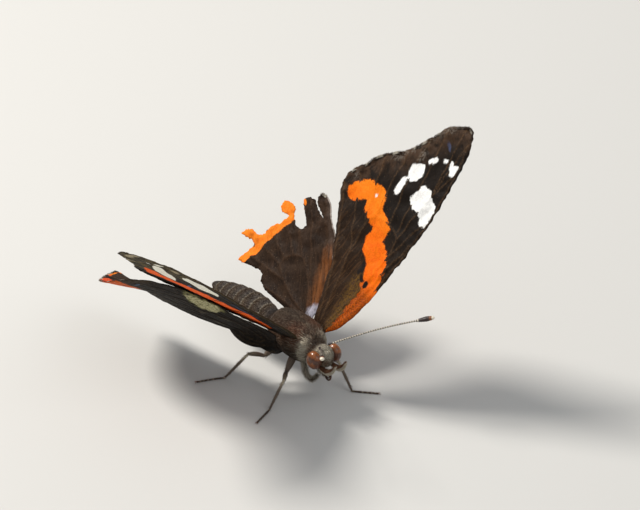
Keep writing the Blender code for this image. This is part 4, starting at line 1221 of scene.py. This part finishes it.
def wing_hair_piece(name, plan, rim):
    """Long soft hair over the root of a wing's upper side, laid towards the tip."""
    rng = np.random.default_rng(len(name) * 7 + ROOT_HAIRS)
    kind = wing_kind(name)
    reach = 3.6 if kind == "forewing" else 4.2
    tries = ROOT_HAIRS * 3
    roots2 = np.stack([reach * rng.random(tries) ** 1.4, rng.uniform(-3.5, 10, tries)], 1)
    to_rim, _ = line_distance(roots2, np.vstack([rim, rim[:1]]))
    inner = np.clip((roots2[:, 1] - 1.0) / 3.0, 0, 1) if kind != "forewing" else 0.0
    keep = inside(roots2, rim) & (to_rim > 0.15)
    keep &= rng.random(len(roots2)) < np.clip(1 - roots2[:, 0] / reach + 0.3 * inner, 0.05, 1)
    roots2 = roots2[keep][:ROOT_HAIRS]
    spread = roots2[:, 1] * 0.09 + rng.normal(0, 0.14, len(roots2))
    lean2 = unit(np.stack([np.ones(len(roots2)), spread], 1))
    roots, normal = wing_lie(name, roots2[:, 0], roots2[:, 1], np.full(len(roots2), 0.02))
    tips, _ = wing_lie(name, *(roots2 + lean2 * 0.3).T, np.full(len(roots2), 0.02))
    grown = tufts(roots, tips - roots + normal * 0.02, normal, rng.uniform(0.4, 0.9, len(roots)),
                  0.013, rng.uniform(0.02, 0.14, len(roots)), (0.9, 0.8))
    marks = {"plan": np.column_stack([roots2, np.full(len(roots2), 3.0)]),
             "light": np.zeros(len(roots2))}
    tuft_piece(name + "_root_hair", "wing_hair", "wing_scales", grown, marks,
               plan_map(plan, roots2))


# Body

STATION_TABLE = smooth_curve(BODY_STATIONS, 8)[::-1]
SEGMENT_PITCH = (ABDOMEN_FRONT - ABDOMEN_TIP) / SEGMENTS
# Stations of the body's marks: back of the head, collar and hind edge of the thorax's shield
HEAD_BACK = 4.3
COLLAR = 3.45
SHIELD_EDGE = -2.85


def body_section(forward):
    """Height of the middle, half width and half heights above and below at a station."""
    return [np.interp(forward, STATION_TABLE[:, 0], column) for column in STATION_TABLE[:, 1:].T]


def ring_phase(forward):
    """How far a place lies through its abdominal ring, 0 at its front and 1 at its hind edge."""
    return np.clip((ABDOMEN_FRONT - forward) / SEGMENT_PITCH, 0, SEGMENTS - 0.01) % 1


def body_skin_place(forward, angle):
    """A place on the skin; the angle runs from the back (0) over the left side to the belly."""
    middle, half_width, above, below = body_section(forward)
    belly = np.clip((ABDOMEN_FRONT - forward) / 1.5, 0, 1)
    phase = ring_phase(forward)
    relief = 1 + belly * (0.055 * phase ** 2 - 0.03)
    side_fold = 1 - 0.06 * belly * np.exp(-((np.abs(np.sin(angle)) - 0.97) / 0.05) ** 2)
    relief = relief * side_fold
    shield = np.exp(-((forward + 2.35) / 0.55) ** 2) * np.clip(np.cos(angle), 0, 1) ** 2
    up = np.cos(angle)
    return np.stack([forward + 0 * angle, half_width * relief * np.sin(angle),
                     middle + np.where(up > 0, above + 0.16 * shield, below) * up * relief], -1)


def body_skin_normal(forward, angle):
    """The way out of the skin at a place on it."""
    step = 0.02
    ahead = body_skin_place(forward + step, angle) - body_skin_place(forward - step, angle)
    around = body_skin_place(forward, angle + step) - body_skin_place(forward, angle - step)
    return unit(np.cross(around, ahead))


def body_marks(forward, angle):
    """Where the body is pale, rusty, blue-grey with a painted sheen on its upper side, or dark, from
    0 to 1.
    """
    top = np.clip(np.cos(angle), 0, 1)
    low = np.clip(-np.cos(angle), 0, 1)
    flank = np.abs(np.sin(angle))
    abdomen = np.clip((ABDOMEN_FRONT + 0.6 - forward) / 0.8, 0, 1)
    head = np.clip((forward - HEAD_BACK) / 0.4, 0, 1)
    collar = np.exp(-((forward - COLLAR) / 0.42) ** 2) * np.clip(flank * 1.3 - 0.2, 0, 1)
    shield_edge = np.exp(-((forward - SHIELD_EDGE) / 0.16) ** 2) * top ** 0.5
    rim = abdomen * np.clip((ring_phase(forward) - 0.88) / 0.08, 0, 1)
    crown = head * np.clip((forward - HEAD_BACK) / 0.6, 0, 1) * np.clip(top * 1.5, 0, 1)
    light = np.clip(0.95 * collar + 0.5 * shield_edge + 0.34 * rim + 0.62 * crown
                    + 0.22 * abdomen * low + 0.35 * head * low, 0, 0.9)
    rust = np.clip(0.65 * np.exp(-((forward - 1.9) / 1.1) ** 2) * top * np.clip(flank * 1.6, 0, 1)
                   + 0.15 * (1 - abdomen) * flank, 0, 0.7)
    # Blue-grey where the body faces up: partly the scales' own colour, partly a painted sheen
    steel = np.clip(0.75 * abdomen * top * np.clip(1 - ring_phase(forward), 0.2, 1)
                    + 0.2 * (1 - abdomen) * top + 0.3 * crown, 0, 0.8)
    # Dark under the thorax is painted shade; the dark front of each abdominal ring is the body's own
    # colour
    under = np.clip((0.35 - np.cos(angle)) / 0.5, 0, 1)
    dark = np.clip(0.75 * (1 - abdomen) * (1 - head) * under
                   + 0.25 * abdomen * (ring_phase(forward) < 0.12), 0, 0.75)
    return {"light": light, "rust": rust, "steel": steel, "dark": dark}


def body_map(forward, turn):
    """The skin's own map: turn around the body (0 to 1, from the belly) and length along it."""
    length = BODY_STATIONS[0][0] - BODY_STATIONS[-1][0]
    return np.stack([0.01 + 0.98 * turn, 0.01 + 0.98 * (forward - BODY_STATIONS[-1][0]) / length], -1)


def body_skin():
    """One skin from face to tail under the coat, with its own map cut open along the belly."""
    rows, cols = 210, 96
    front, rear = BODY_STATIONS[0][0], BODY_STATIONS[-1][0]
    bend = (1 - np.cos(np.linspace(0, math.pi, rows))) / 2
    forward = front + (rear - front) * (0.3 * bend + 0.7 * np.linspace(0, 1, rows))
    turn = np.arange(cols) / cols
    angle = turn * math.tau + math.pi
    grid_forward, grid_angle = np.meshgrid(forward, angle, indexing="ij")
    places = body_skin_place(grid_forward, grid_angle).reshape(-1, 3)
    normals = body_skin_normal(grid_forward, grid_angle).reshape(-1, 3)
    lumps = np.array([noise.noise(Vector(place * 2.2)) for place in places])
    places = places + normals * lumps[:, None] * 0.04
    ends = np.array([[front + 0.04, 0, body_section(front)[0]],
                     [rear - 0.04, 0, body_section(rear)[0]]])
    verts = np.vstack([places, ends])
    faces, corners = [], []
    for row in range(rows - 1):
        for col in range(cols):
            nxt = (col + 1) % cols
            faces.append((row * cols + col, row * cols + nxt, (row + 1) * cols + nxt,
                          (row + 1) * cols + col))
            for r, c in ((row, col), (row, col + 1), (row + 1, col + 1), (row + 1, col)):
                corners.append((forward[r], c / cols))
    for row, pole, steps in ((0, rows * cols, (1, 0)), (rows - 1, rows * cols + 1, (0, 1))):
        for col in range(cols):
            faces.append((pole, *(row * cols + (col + step) % cols for step in steps)))
            corners.append((forward[row], (col + 0.5) / cols))
            corners += [(forward[row], (col + step) / cols) for step in steps]
    corners = np.array(corners)
    full_forward = np.concatenate([grid_forward.ravel(), [front, rear]])
    full_angle = np.concatenate([grid_angle.ravel(), [0, 0]])
    marks = body_marks(full_forward, full_angle)
    marks["plan"] = verts
    plain_piece("body_skin", floor_place(verts), faces, "skin", marks, "body_fur", "thorax", "head",
                "abdomen", bake=body_map(corners[:, 0], corners[:, 1]))


def skin_roots(count, low, high, seed):
    """Roots spread evenly over the skin between two stations, as forward and angle."""
    rng = np.random.default_rng(seed)
    rows, cols = 300, 120
    forward = np.linspace(low, high, rows)
    angle = np.linspace(0, math.tau, cols, endpoint=False)
    grid_forward, grid_angle = np.meshgrid(forward, angle, indexing="ij")
    here = body_skin_place(grid_forward, grid_angle)
    ahead = body_skin_place(grid_forward + 0.02, grid_angle) - here
    around = body_skin_place(grid_forward, grid_angle + 0.02) - here
    area = np.linalg.norm(np.cross(ahead, around), axis=-1).ravel()
    chosen = rng.choice(len(area), count, p=area / area.sum())
    step = (high - low) / rows
    return (grid_forward.ravel()[chosen] + rng.uniform(-0.5, 0.5, count) * step,
            grid_angle.ravel()[chosen] + rng.uniform(-0.5, 0.5, count) * math.tau / cols, rng)


def clear_of_eyes(places):
    """Which places lie outside both eyes."""
    keep = np.ones(len(places), bool)
    for side in (1, -1):
        off = places - mirrored(EYE_PLACE, side)
        keep &= np.linalg.norm(off / (np.array(EYE_RADII) * 1.04), axis=1) > 1
    return keep


def coat_piece(name, count, low, high, seed, length, width, rise, lean, profile=(1.0, 0.75),
               flat=0.45, mixed=0.08):
    """A coat of tufts over the body from one station to another.

    Lean gives a tuft's direction from its place; mixed is how much the tufts differ in tone."""
    forward, angle, rng = skin_roots(count, low, high, seed)
    places = body_skin_place(forward, angle)
    keep = clear_of_eyes(places)
    forward, angle, places = forward[keep], angle[keep], places[keep]
    normal = body_skin_normal(forward, angle)
    along = lean(forward, angle, places) + rng.normal(0, 0.16, places.shape)
    along = along - (along * normal).sum(1)[:, None] * normal
    lifted = rise(forward, angle)[:, None] * rng.uniform(0.6, 1.4, len(places))[:, None]
    along = unit(unit(along) + normal * lifted)
    reach = length(forward, angle) * rng.uniform(0.65, 1.25, len(places))
    grown = tufts(places - normal * 0.03, along, normal, reach,
                  width * rng.uniform(0.8, 1.25, len(places)),
                  rng.uniform(-0.12, 0.12, len(places)), profile, flat)
    marks = body_marks(forward, angle)
    marks["light"] = np.clip(marks["light"] * (1 + rng.normal(0, 4 * mixed, len(places)))
                             + rng.normal(0, mixed, len(places)), 0, 0.95)
    marks["plan"] = places
    turn = ((angle - math.pi) / math.tau) % 1
    tuft_piece(name, "coat", "body_fur", grown, marks, body_map(forward, turn))


def lean_back(forward, angle, places):
    """Hair of thorax and abdomen: laid back, parting a little down the sides."""
    along = np.zeros_like(places)
    along[:, 0] = -1.0
    along[:, 1] = 0.35 * np.sin(angle)
    along[:, 2] = -0.12
    return along


def lean_face(forward, angle, places):
    """Hair of the head: forward over the brow, back behind it."""
    along = np.zeros_like(places)
    along[:, 0] = np.clip((forward - 4.7) / 0.4, -1, 1)
    along[:, 1] = 0.15 * np.sin(angle)
    along[:, 2] = 0.25 * np.cos(angle)
    return along


def even(value):
    """The same length or rise all over."""
    return lambda forward, angle: value + 0 * forward


def body_coats():
    """Long soft hair on thorax and head, short flat hair scales on the abdomen."""
    def thorax_length(forward, angle):
        front = np.clip((forward - 2.2) / 1.6, 0, 1)
        return 0.7 + 0.3 * np.clip(-np.cos(angle), 0, 1) - 0.2 * front

    def thorax_rise(forward, angle):
        return 0.14 + 0.3 * np.clip((forward - 3.1) / 0.8, 0, 1) + 0.2 * np.abs(np.sin(angle)) ** 3

    scale = (0.8, 1.0)
    coat_piece("thorax_coat_upper", 19500, -3.8, 4.1, 3, thorax_length, 0.022, thorax_rise, lean_back)
    coat_piece("thorax_coat_middle", 19500, -3.8, 4.1, 13, thorax_length, 0.018, thorax_rise,
               lean_back)
    coat_piece("thorax_coat_under", 12000, -3.9, 4.3, 4, even(0.5), 0.04, even(0.06), lean_back,
               scale, 0.3)
    coat_piece("abdomen_coat", 19500, -15.15, -3.7, 5, even(0.25), 0.06, even(0.03), lean_back,
               scale, 0.22)
    coat_piece("abdomen_hair", 6000, -15.15, -3.6, 6, even(0.4), 0.012, even(0.08), lean_back)
    coat_piece("head_coat", 12000, 3.9, 6.4, 7, even(0.8), 0.021, even(0.75), lean_face, mixed=0.3)
    coat_piece("head_scales", 6000, 3.9, 6.4, 8, even(0.26), 0.034, even(0.1), lean_face, scale,
               0.3, 0.15)


SHOULDER_PLATE = (2.3, 2.02, 1.2)
SHOULDER_TUFTS = 4200


def shoulder_piece(side_name, side):
    """Tufts of hair over a forewing's root, and the hair that hides where the wings join on."""
    rng = np.random.default_rng(41)
    count = SHOULDER_TUFTS
    spread = rng.normal(0, 1, (count, 3)) * (0.95, 0.3, 0.6)
    roots = np.array(SHOULDER_PLATE) + spread - (0.35, 0.1, 0.15)
    hind = rng.random(count) < 0.4
    roots[hind] += np.array([-3.1, 0.1, -1.3]) * rng.uniform(0.7, 1.15, hind.sum())[:, None]
    turn = np.arctan2(roots[:, 1], roots[:, 2])
    roots = body_skin_place(roots[:, 0], turn)
    normal = body_skin_normal(roots[:, 0], turn)
    along = np.stack([rng.normal(-0.75, 0.25, count), rng.normal(0.35, 0.2, count),
                      rng.normal(0.12, 0.2, count)], 1)
    along = unit(along + normal * rng.uniform(0.3, 0.8, count)[:, None])
    verts, faces, owner, place = tufts(roots, along, normal, rng.uniform(0.45, 1.05, count), 0.02,
                                       rng.uniform(-0.1, 0.1, count))
    marks = body_marks(roots[:, 0], turn)
    front = np.clip((roots[:, 0] - 1.6) / 0.8, 0, 1) * rng.uniform(0.2, 0.9, count)
    marks["light"] = np.clip(marks["light"] + 0.7 * front, 0, 0.9)
    marks["plan"] = roots
    if side < 0:
        faces = faces[:, ::-1]
    root_map = body_map(roots[:, 0], ((turn * side - math.pi) / math.tau) % 1)
    tuft_piece(f"shoulder_coat_{side_name}", "coat", "body_fur",
               (mirrored(verts, side), faces, owner, place), marks, root_map)


def eye_piece(side_name, side):
    """A domed compound eye with a fine net of facets."""
    rows, cols = 40, 56
    polar = np.linspace(0, math.pi, rows + 2)[1:-1]
    turn = np.arange(cols) * math.tau / cols
    p, t = np.meshgrid(polar, turn, indexing="ij")
    shell = np.stack([EYE_RADII[0] * np.sin(p) * np.cos(t), EYE_RADII[1] * np.cos(p) * side,
                      EYE_RADII[2] * np.sin(p) * np.sin(t)], -1).reshape(-1, 3)
    shell = np.vstack([shell, [[0, EYE_RADII[1] * side, 0], [0, -EYE_RADII[1] * side, 0]]])
    faces = ring_faces(rows, cols)
    if side > 0:
        faces = [face[::-1] for face in faces]
    plain_piece(f"eye_{side_name}_faceted", floor_place(shell + mirrored(EYE_PLACE, side)), faces,
                "eye", {"plan": shell}, "eye", f"eye_{side_name}")


def antenna_piece(side_name, side):
    """A ringed feeler with a flattened dark club and a pale tip."""
    pointing = unit(np.array(ANTENNA_POINTING[side_name]))
    rings, per_ring, sides = 44, 6, 14
    steps = rings * per_ring
    t = np.arange(steps + 1) / steps
    curve = mirrored(ANTENNA_ROOT, side) + pointing * (ANTENNA_LENGTH * t)[:, None]
    curve[:, 2] += 0.35 * np.sin(math.pi * t)
    phase = (t * rings) % 1
    club = np.clip(1 - np.abs(t - 0.925) / 0.1, 0, 1) ** 0.6
    radii = 0.105 + 0.02 * np.sin(math.pi * phase) + 0.24 * club
    radii = radii * np.clip((1.002 - t) / 0.018, 0.15, 1) ** 0.5
    radii[:per_ring] += 0.04
    verts, faces = tube_along(curve, radii, sides, 0.8)
    place = np.repeat(t, sides)
    pale_ring = (np.repeat(phase, sides) < 0.34) & (place > 0.04) & (place < 0.86)
    light = np.where(pale_ring, 0.8, 0.0)
    light = np.where(place > 0.975, 1.0, light)
    light = np.concatenate([light, [0.0, 1.0]])
    rust = np.concatenate([np.clip(1 - np.abs(place - 0.965) / 0.02, 0, 1) * 0.8, [0.0, 0.0]])
    plain_piece(f"antenna_{side_name}_ringed", floor_place(verts), faces, "feeler",
                {"plan": verts, "light": light, "rust": rust}, "dark_horn", f"antenna_{side_name}")


def brush_tufts(curve, radii, count, length, width, rise, seed):
    """Tufts that clothe a limb, laid along it towards its tip, and which way each faces."""
    rng = np.random.default_rng(seed)
    index = rng.random(count) * (len(curve) - 1)
    tangents = unit(np.gradient(curve, axis=0))

    def between_rings(values):
        return np.interp(index, np.arange(len(curve)), values)

    places = np.stack([between_rings(curve[:, axis]) for axis in range(3)], 1)
    tangent = unit(np.stack([between_rings(tangents[:, axis]) for axis in range(3)], 1))
    thick = between_rings(np.broadcast_to(radii, len(curve)))
    spin = rng.normal(0, 1, (count, 3))
    normal = unit(spin - (spin * tangent).sum(1)[:, None] * tangent)
    roots = places + normal * thick[:, None] * 0.85
    along = unit(tangent + normal * rise)
    verts, faces, owner, place = tufts(roots, along, normal, length * rng.uniform(0.6, 1.2, count),
                                       width, rng.uniform(-0.1, 0.12, count))
    return verts, faces, owner, place, normal


def clothed_limb(name, node, material, slot, curve, radii, sides, core, brush, paleness):
    """A small limb with tufts on it.

    Core holds the tip and light marks of its shell, brush the settings of its tufts, and
    paleness gives a tuft's light from the way it faces."""
    verts, faces = tube_along(curve, radii, sides)
    tip, light = (np.zeros(len(verts)) + value for value in core(verts))
    hair, hair_faces, owner, place, normal = brush_tufts(curve, radii, *brush)
    coat = {"plan": hair, "tip": place, "light": paleness(normal[:, 2])[owner]}
    verts, faces, marks = join_parts([(verts, faces, {"plan": verts, "tip": tip, "light": light}),
                                      (hair, hair_faces, coat)])
    plain_piece(name, floor_place(verts), faces, material, marks, slot, node)


def palp_piece(side_name, side):
    """A labial palp: cream below, rusty brown above, clothed in close scales."""
    curve = smooth_curve(mirrored(PALP_PATH, side), 8)
    t = np.linspace(0, 1, len(curve))
    radii = 0.24 + 0.1 * np.sin(math.pi * np.clip(t * 1.1, 0, 1)) - 0.17 * t ** 2

    def shell(verts):
        low = verts[:, 2] < np.interp(verts[:, 0], curve[:, 0], curve[:, 2])
        return 0.3, np.where(low, 0.5, 0.0)

    clothed_limb(f"palp_{side_name}_brush", f"palp_{side_name}", "palp", "palp_scales", curve,
                 radii, 16, shell, (1500, 0.34, 0.03, 0.32, 21 + side),
                 lambda facing_up: np.clip(-facing_up * 1.6 + 0.1, 0, 0.85))


def foreleg_piece(side_name, side):
    """The small folded foreleg, clothed in long grey hair like a brush."""
    curve = smooth_curve(mirrored(FORELEG_PATH, side), 8)
    radii = np.interp(np.linspace(0, 1, len(curve)), [0, 0.35, 0.7, 1], [0.26, 0.24, 0.18, 0.1])
    # Its tufts are paler the more they face up: painted top light over the grey brush
    clothed_limb(f"foreleg_{side_name}_brush", f"foreleg_{side_name}", "brush", "dark_horn", curve,
                 radii, 12, lambda verts: (0.0, 0.0), (1400, 0.62, 0.02, 0.55, 31 + side),
                 lambda facing_up: np.clip(0.35 + 0.3 * facing_up, 0, 0.7))


def tongue_piece():
    """The coiled tongue between the palps."""
    turns = 1.9
    t = np.linspace(0, 1, 150)
    angle = math.radians(110) - math.tau * turns * t
    reach = 0.68 - 0.46 * t
    curve = np.stack([TONGUE_MIDDLE[0] + reach * np.cos(angle), 0.02 * np.sin(angle * 2),
                      TONGUE_MIDDLE[1] + reach * np.sin(angle)], 1)
    radii = (0.125 - 0.07 * t) * (1 + 0.07 * np.sin(t * 240))
    verts, faces, marks = plain_part(*tube_along(curve, radii, 10, guide=(0, 1, 0)), 0.0, 0.0)
    plain_piece("proboscis_coiled", floor_place(verts), faces, "tongue", marks, "dark_horn",
                "proboscis")


def plain_part(verts, faces, light, rust):
    """A part of shell with its two marks, each one value or a value for each vertex."""
    return verts, faces, {"plan": verts, "light": np.full(len(verts), light),
                          "rust": np.full(len(verts), rust)}


def leg_part(start, end, radii, light, bow):
    """One stretch of a leg between two joints, waisted at its ends and bowed up a little."""
    sides = 12
    t = np.linspace(0, 1, 14)
    curve = np.asarray(start) + (np.asarray(end) - np.asarray(start)) * t[:, None]
    curve[:, 2] += bow * np.sin(math.pi * t)
    waist = 0.72 + 0.28 * np.sin(math.pi * np.clip(t * 1.02, 0, 1)) ** 0.4
    thick = np.interp(t, np.linspace(0, 1, len(radii)), radii) * waist
    verts, faces = tube_along(curve, thick, sides)
    pale = np.concatenate([np.repeat(np.interp(t, np.linspace(0, 1, len(light)), light), sides),
                           [light[0], light[-1]]])
    return plain_part(verts, faces, pale, 0.0), curve, thick


FOOT_RADIUS = 0.115
FOOT_CUTS = (0.0, 0.42, 0.6, 0.75, 0.87, 1.0)
HIP_RISE = 1.3
# A claw's points past the toe: ahead, aside and up
CLAW = ((-0.04, 0.03, 0.0), (0.12, 0.1, 0.05), (0.24, 0.12, -0.01), (0.28, 0.1, -0.08))


def foot_parts(foot):
    """The five joints of a foot along its curve, each pale at its near end."""
    gone = np.linspace(0, 1, len(foot))
    parts = []
    for low, high in zip(FOOT_CUTS, FOOT_CUTS[1:]):
        run = foot[(gone >= low) & (gone <= high)]
        run = run[np.linspace(0, len(run) - 1, 9).astype(int)]
        t = np.linspace(0, 1, len(run))
        thick = FOOT_RADIUS * (0.74 + 0.26 * t ** 0.5) * (1.0 - 0.1 * low)
        verts, faces = tube_along(run, thick, 10)
        pale = np.concatenate([np.repeat(np.clip(1 - t / 0.3, 0, 1), 10), [1.0, 0.0]])
        parts.append(plain_part(verts, faces, pale, 0.0))
    return parts


def claw_parts(toe, ahead):
    """The two hooked claws at the end of a foot."""
    across = unit(np.cross((0, 0, 1), ahead))
    parts = []
    for side in (1, -1):
        hook = [toe + ahead * far + across * side * wide + (0, 0, up) for far, wide, up in CLAW]
        curve = smooth_curve(hook, 4)
        verts, faces = tube_along(curve, np.linspace(0.04, 0.012, len(curve)), 8)
        parts.append(plain_part(verts, faces, 0.0, 0.5))
    return parts


# Hair and spines of a leg, for hip, femur, shin and foot: count, length, width and rise
LEG_COATS = ((260, 0.34, 0.016, 0.35), (520, 0.3, 0.016, 0.3), (190, 0.3, 0.018, 0.75),
             (220, 0.16, 0.014, 0.6))


def leg_piece(name, path):
    """A walking leg: hip, femur, spined shin, five-jointed foot and two claws, on the floor."""
    joints = np.array(path, float)
    joints[-3:, 2] = FOOT_RADIUS * 1.02
    hip = joints[0] * (1, 0.75, 1) + (0, 0, HIP_RISE)
    neck, knee, ankle, heel = joints[1:5]
    heel[2] = FOOT_RADIUS * 1.15
    ankle = heel + (ankle - heel) * 0.12
    parts, limbs = [], []
    for start, end, radii, light, bow in (
            (hip, neck, (0.5, 0.44, 0.28), (0.1, 0.1), 0.0),
            (neck, knee, (0.22, 0.27, 0.19), (0.1, 0.05, 0.55), 0.12),
            (knee, ankle, (0.17, 0.17, 0.13), (0.9, 0.15, 0.1, 0.1), 0.0)):
        part, curve, thick = leg_part(start, end, radii, light, bow)
        parts.append(part)
        limbs.append((curve, thick))
    foot = even_steps(smooth_curve([ankle, heel, joints[5], joints[6]], 8), 0.01)
    limbs.append((foot[::12], np.full(len(foot[::12]), FOOT_RADIUS)))
    parts += foot_parts(foot)
    parts += claw_parts(joints[6], unit(joints[6] - joints[5]))
    seed = sum(ord(letter) for letter in name)
    for index, ((curve, thick), coat) in enumerate(zip(limbs, LEG_COATS)):
        hair, hair_faces, *_ = brush_tufts(curve, thick, *coat, seed + index)
        hair[:, 2] = np.maximum(hair[:, 2], 0.004)
        parts.append(plain_part(hair, hair_faces, 0.12, 0.1))
    verts, faces, marks = join_parts(parts)
    verts[:, 2] = np.maximum(verts[:, 2], 0.0)
    plain_piece(f"{name}_jointed", ground_place(verts), faces, "horn", marks, "dark_horn", name)


# Floor, light and camera

# The camera's right and up in the floor frame, fitted to the pose
CAMERA_RIGHT = (0.79478, -0.60530, 0.04393)
CAMERA_UP = (0.31178, 0.46934, 0.82614)
PIXELS_PER_MM = 8.867
PICTURE_WIDTH = 640
PICTURE_HEIGHT = 510
THORAX_PIXEL = (295.58, 334.82)
CAMERA_DISTANCE = 2500.0
SENSOR = 36.0
FLOOR_REACH = 1.5
FLOOR_COLOUR = (206, 205, 202)
SKY_COLOUR = (0.96, 0.98, 1.0, 1)
SKY_STRENGTH = 0.4
LIT_PLACE = (0, 0, 0.012)
# Each light's direction by the camera's right, up and back; its distance, size, power and colour
LIGHTS = {
    "key": ((-0.55, 0.78, 0.22), 0.5, 0.16, 2.9, (1.0, 0.96, 0.9)),
    "fill": ((0.5, 0.35, 0.8), 0.6, 0.4, 0.6, (0.94, 0.97, 1.0)),
}


def place_camera():
    """A long lens at the photograph's angle, with the thorax at its place in the frame."""
    right = Vector(CAMERA_RIGHT).normalized()
    up = Vector(CAMERA_UP)
    up = (up - right * up.dot(right)).normalized()
    back = right.cross(up)
    data = bpy.data.cameras.new("camera")
    data.sensor_width = SENSOR
    data.lens = PIXELS_PER_MM * SENSOR / PICTURE_WIDTH * CAMERA_DISTANCE
    data.clip_end = 20.0
    thorax = Vector((BOX_SHIFT[0], BOX_SHIFT[1], BODY_HEIGHT))
    shift_right = (PICTURE_WIDTH / 2 - THORAX_PIXEL[0]) / PIXELS_PER_MM
    shift_up = (THORAX_PIXEL[1] - PICTURE_HEIGHT / 2) / PIXELS_PER_MM
    place = (thorax + right * shift_right + up * shift_up + back * CAMERA_DISTANCE) * MM
    camera = bpy.data.objects.new("camera", data)
    turn = Matrix((right, up, back)).transposed()
    camera.matrix_world = Matrix.Translation(place) @ turn.to_4x4()
    bpy.context.scene.collection.objects.link(camera)
    bpy.context.scene.camera = camera
    return right, up, back


def add_light(name, direction, distance, size, power, colour):
    """A round soft light on the butterfly from a direction."""
    data = bpy.data.lights.new(name, "AREA")
    data.shape = "DISK"
    data.size = size
    data.energy = power
    data.color = colour
    light = bpy.data.objects.new(name, data)
    direction = direction.normalized()
    light.location = Vector(LIT_PLACE) + direction * distance
    light.rotation_euler = direction.to_track_quat("Z", "Y").to_euler()
    bpy.context.scene.collection.objects.link(light)


def studio():
    """A pale plain floor, a soft key light from the picture's upper left and a gentle fill."""
    right, up, back = place_camera()
    material, _, shader = new_material("studio_floor", Roughness=0.85)
    shader["Base Color"].default_value = paint(*FLOOR_COLOUR)
    corners = [(x * FLOOR_REACH, y * FLOOR_REACH, 0) for x, y in ((-1, -1), (1, -1), (1, 1), (-1, 1))]
    floor = make_piece("studio_floor", corners, [(0, 1, 2, 3)], [material], smooth=False)
    world = bpy.data.worlds.new("studio")
    world.use_nodes = True
    sky = world.node_tree.nodes["Background"].inputs
    sky[0].default_value = SKY_COLOUR
    sky[1].default_value = SKY_STRENGTH
    bpy.context.scene.world = world
    for name, (toward, *settings) in LIGHTS.items():
        add_light(name, right * toward[0] + up * toward[1] + back * toward[2], *settings)
    bpy.context.scene.view_settings.view_transform = "Standard"


def build():
    """Every visible piece, then floor, light and camera."""
    for name in WING_SET:
        plan, rim, lines = wing_piece(name)
        fringe_piece(name, plan, rim, lines)
        wing_hair_piece(name, plan, rim)
    body_skin()
    body_coats()
    for side_name, side in (("left", 1), ("right", -1)):
        shoulder_piece(side_name, side)
        eye_piece(side_name, side)
        antenna_piece(side_name, side)
        palp_piece(side_name, side)
        foreleg_piece(side_name, side)
    tongue_piece()
    for name, path in LEG_PATHS.items():
        leg_piece(name, path)
    studio()


build()

bpy.context.view_layer.update()
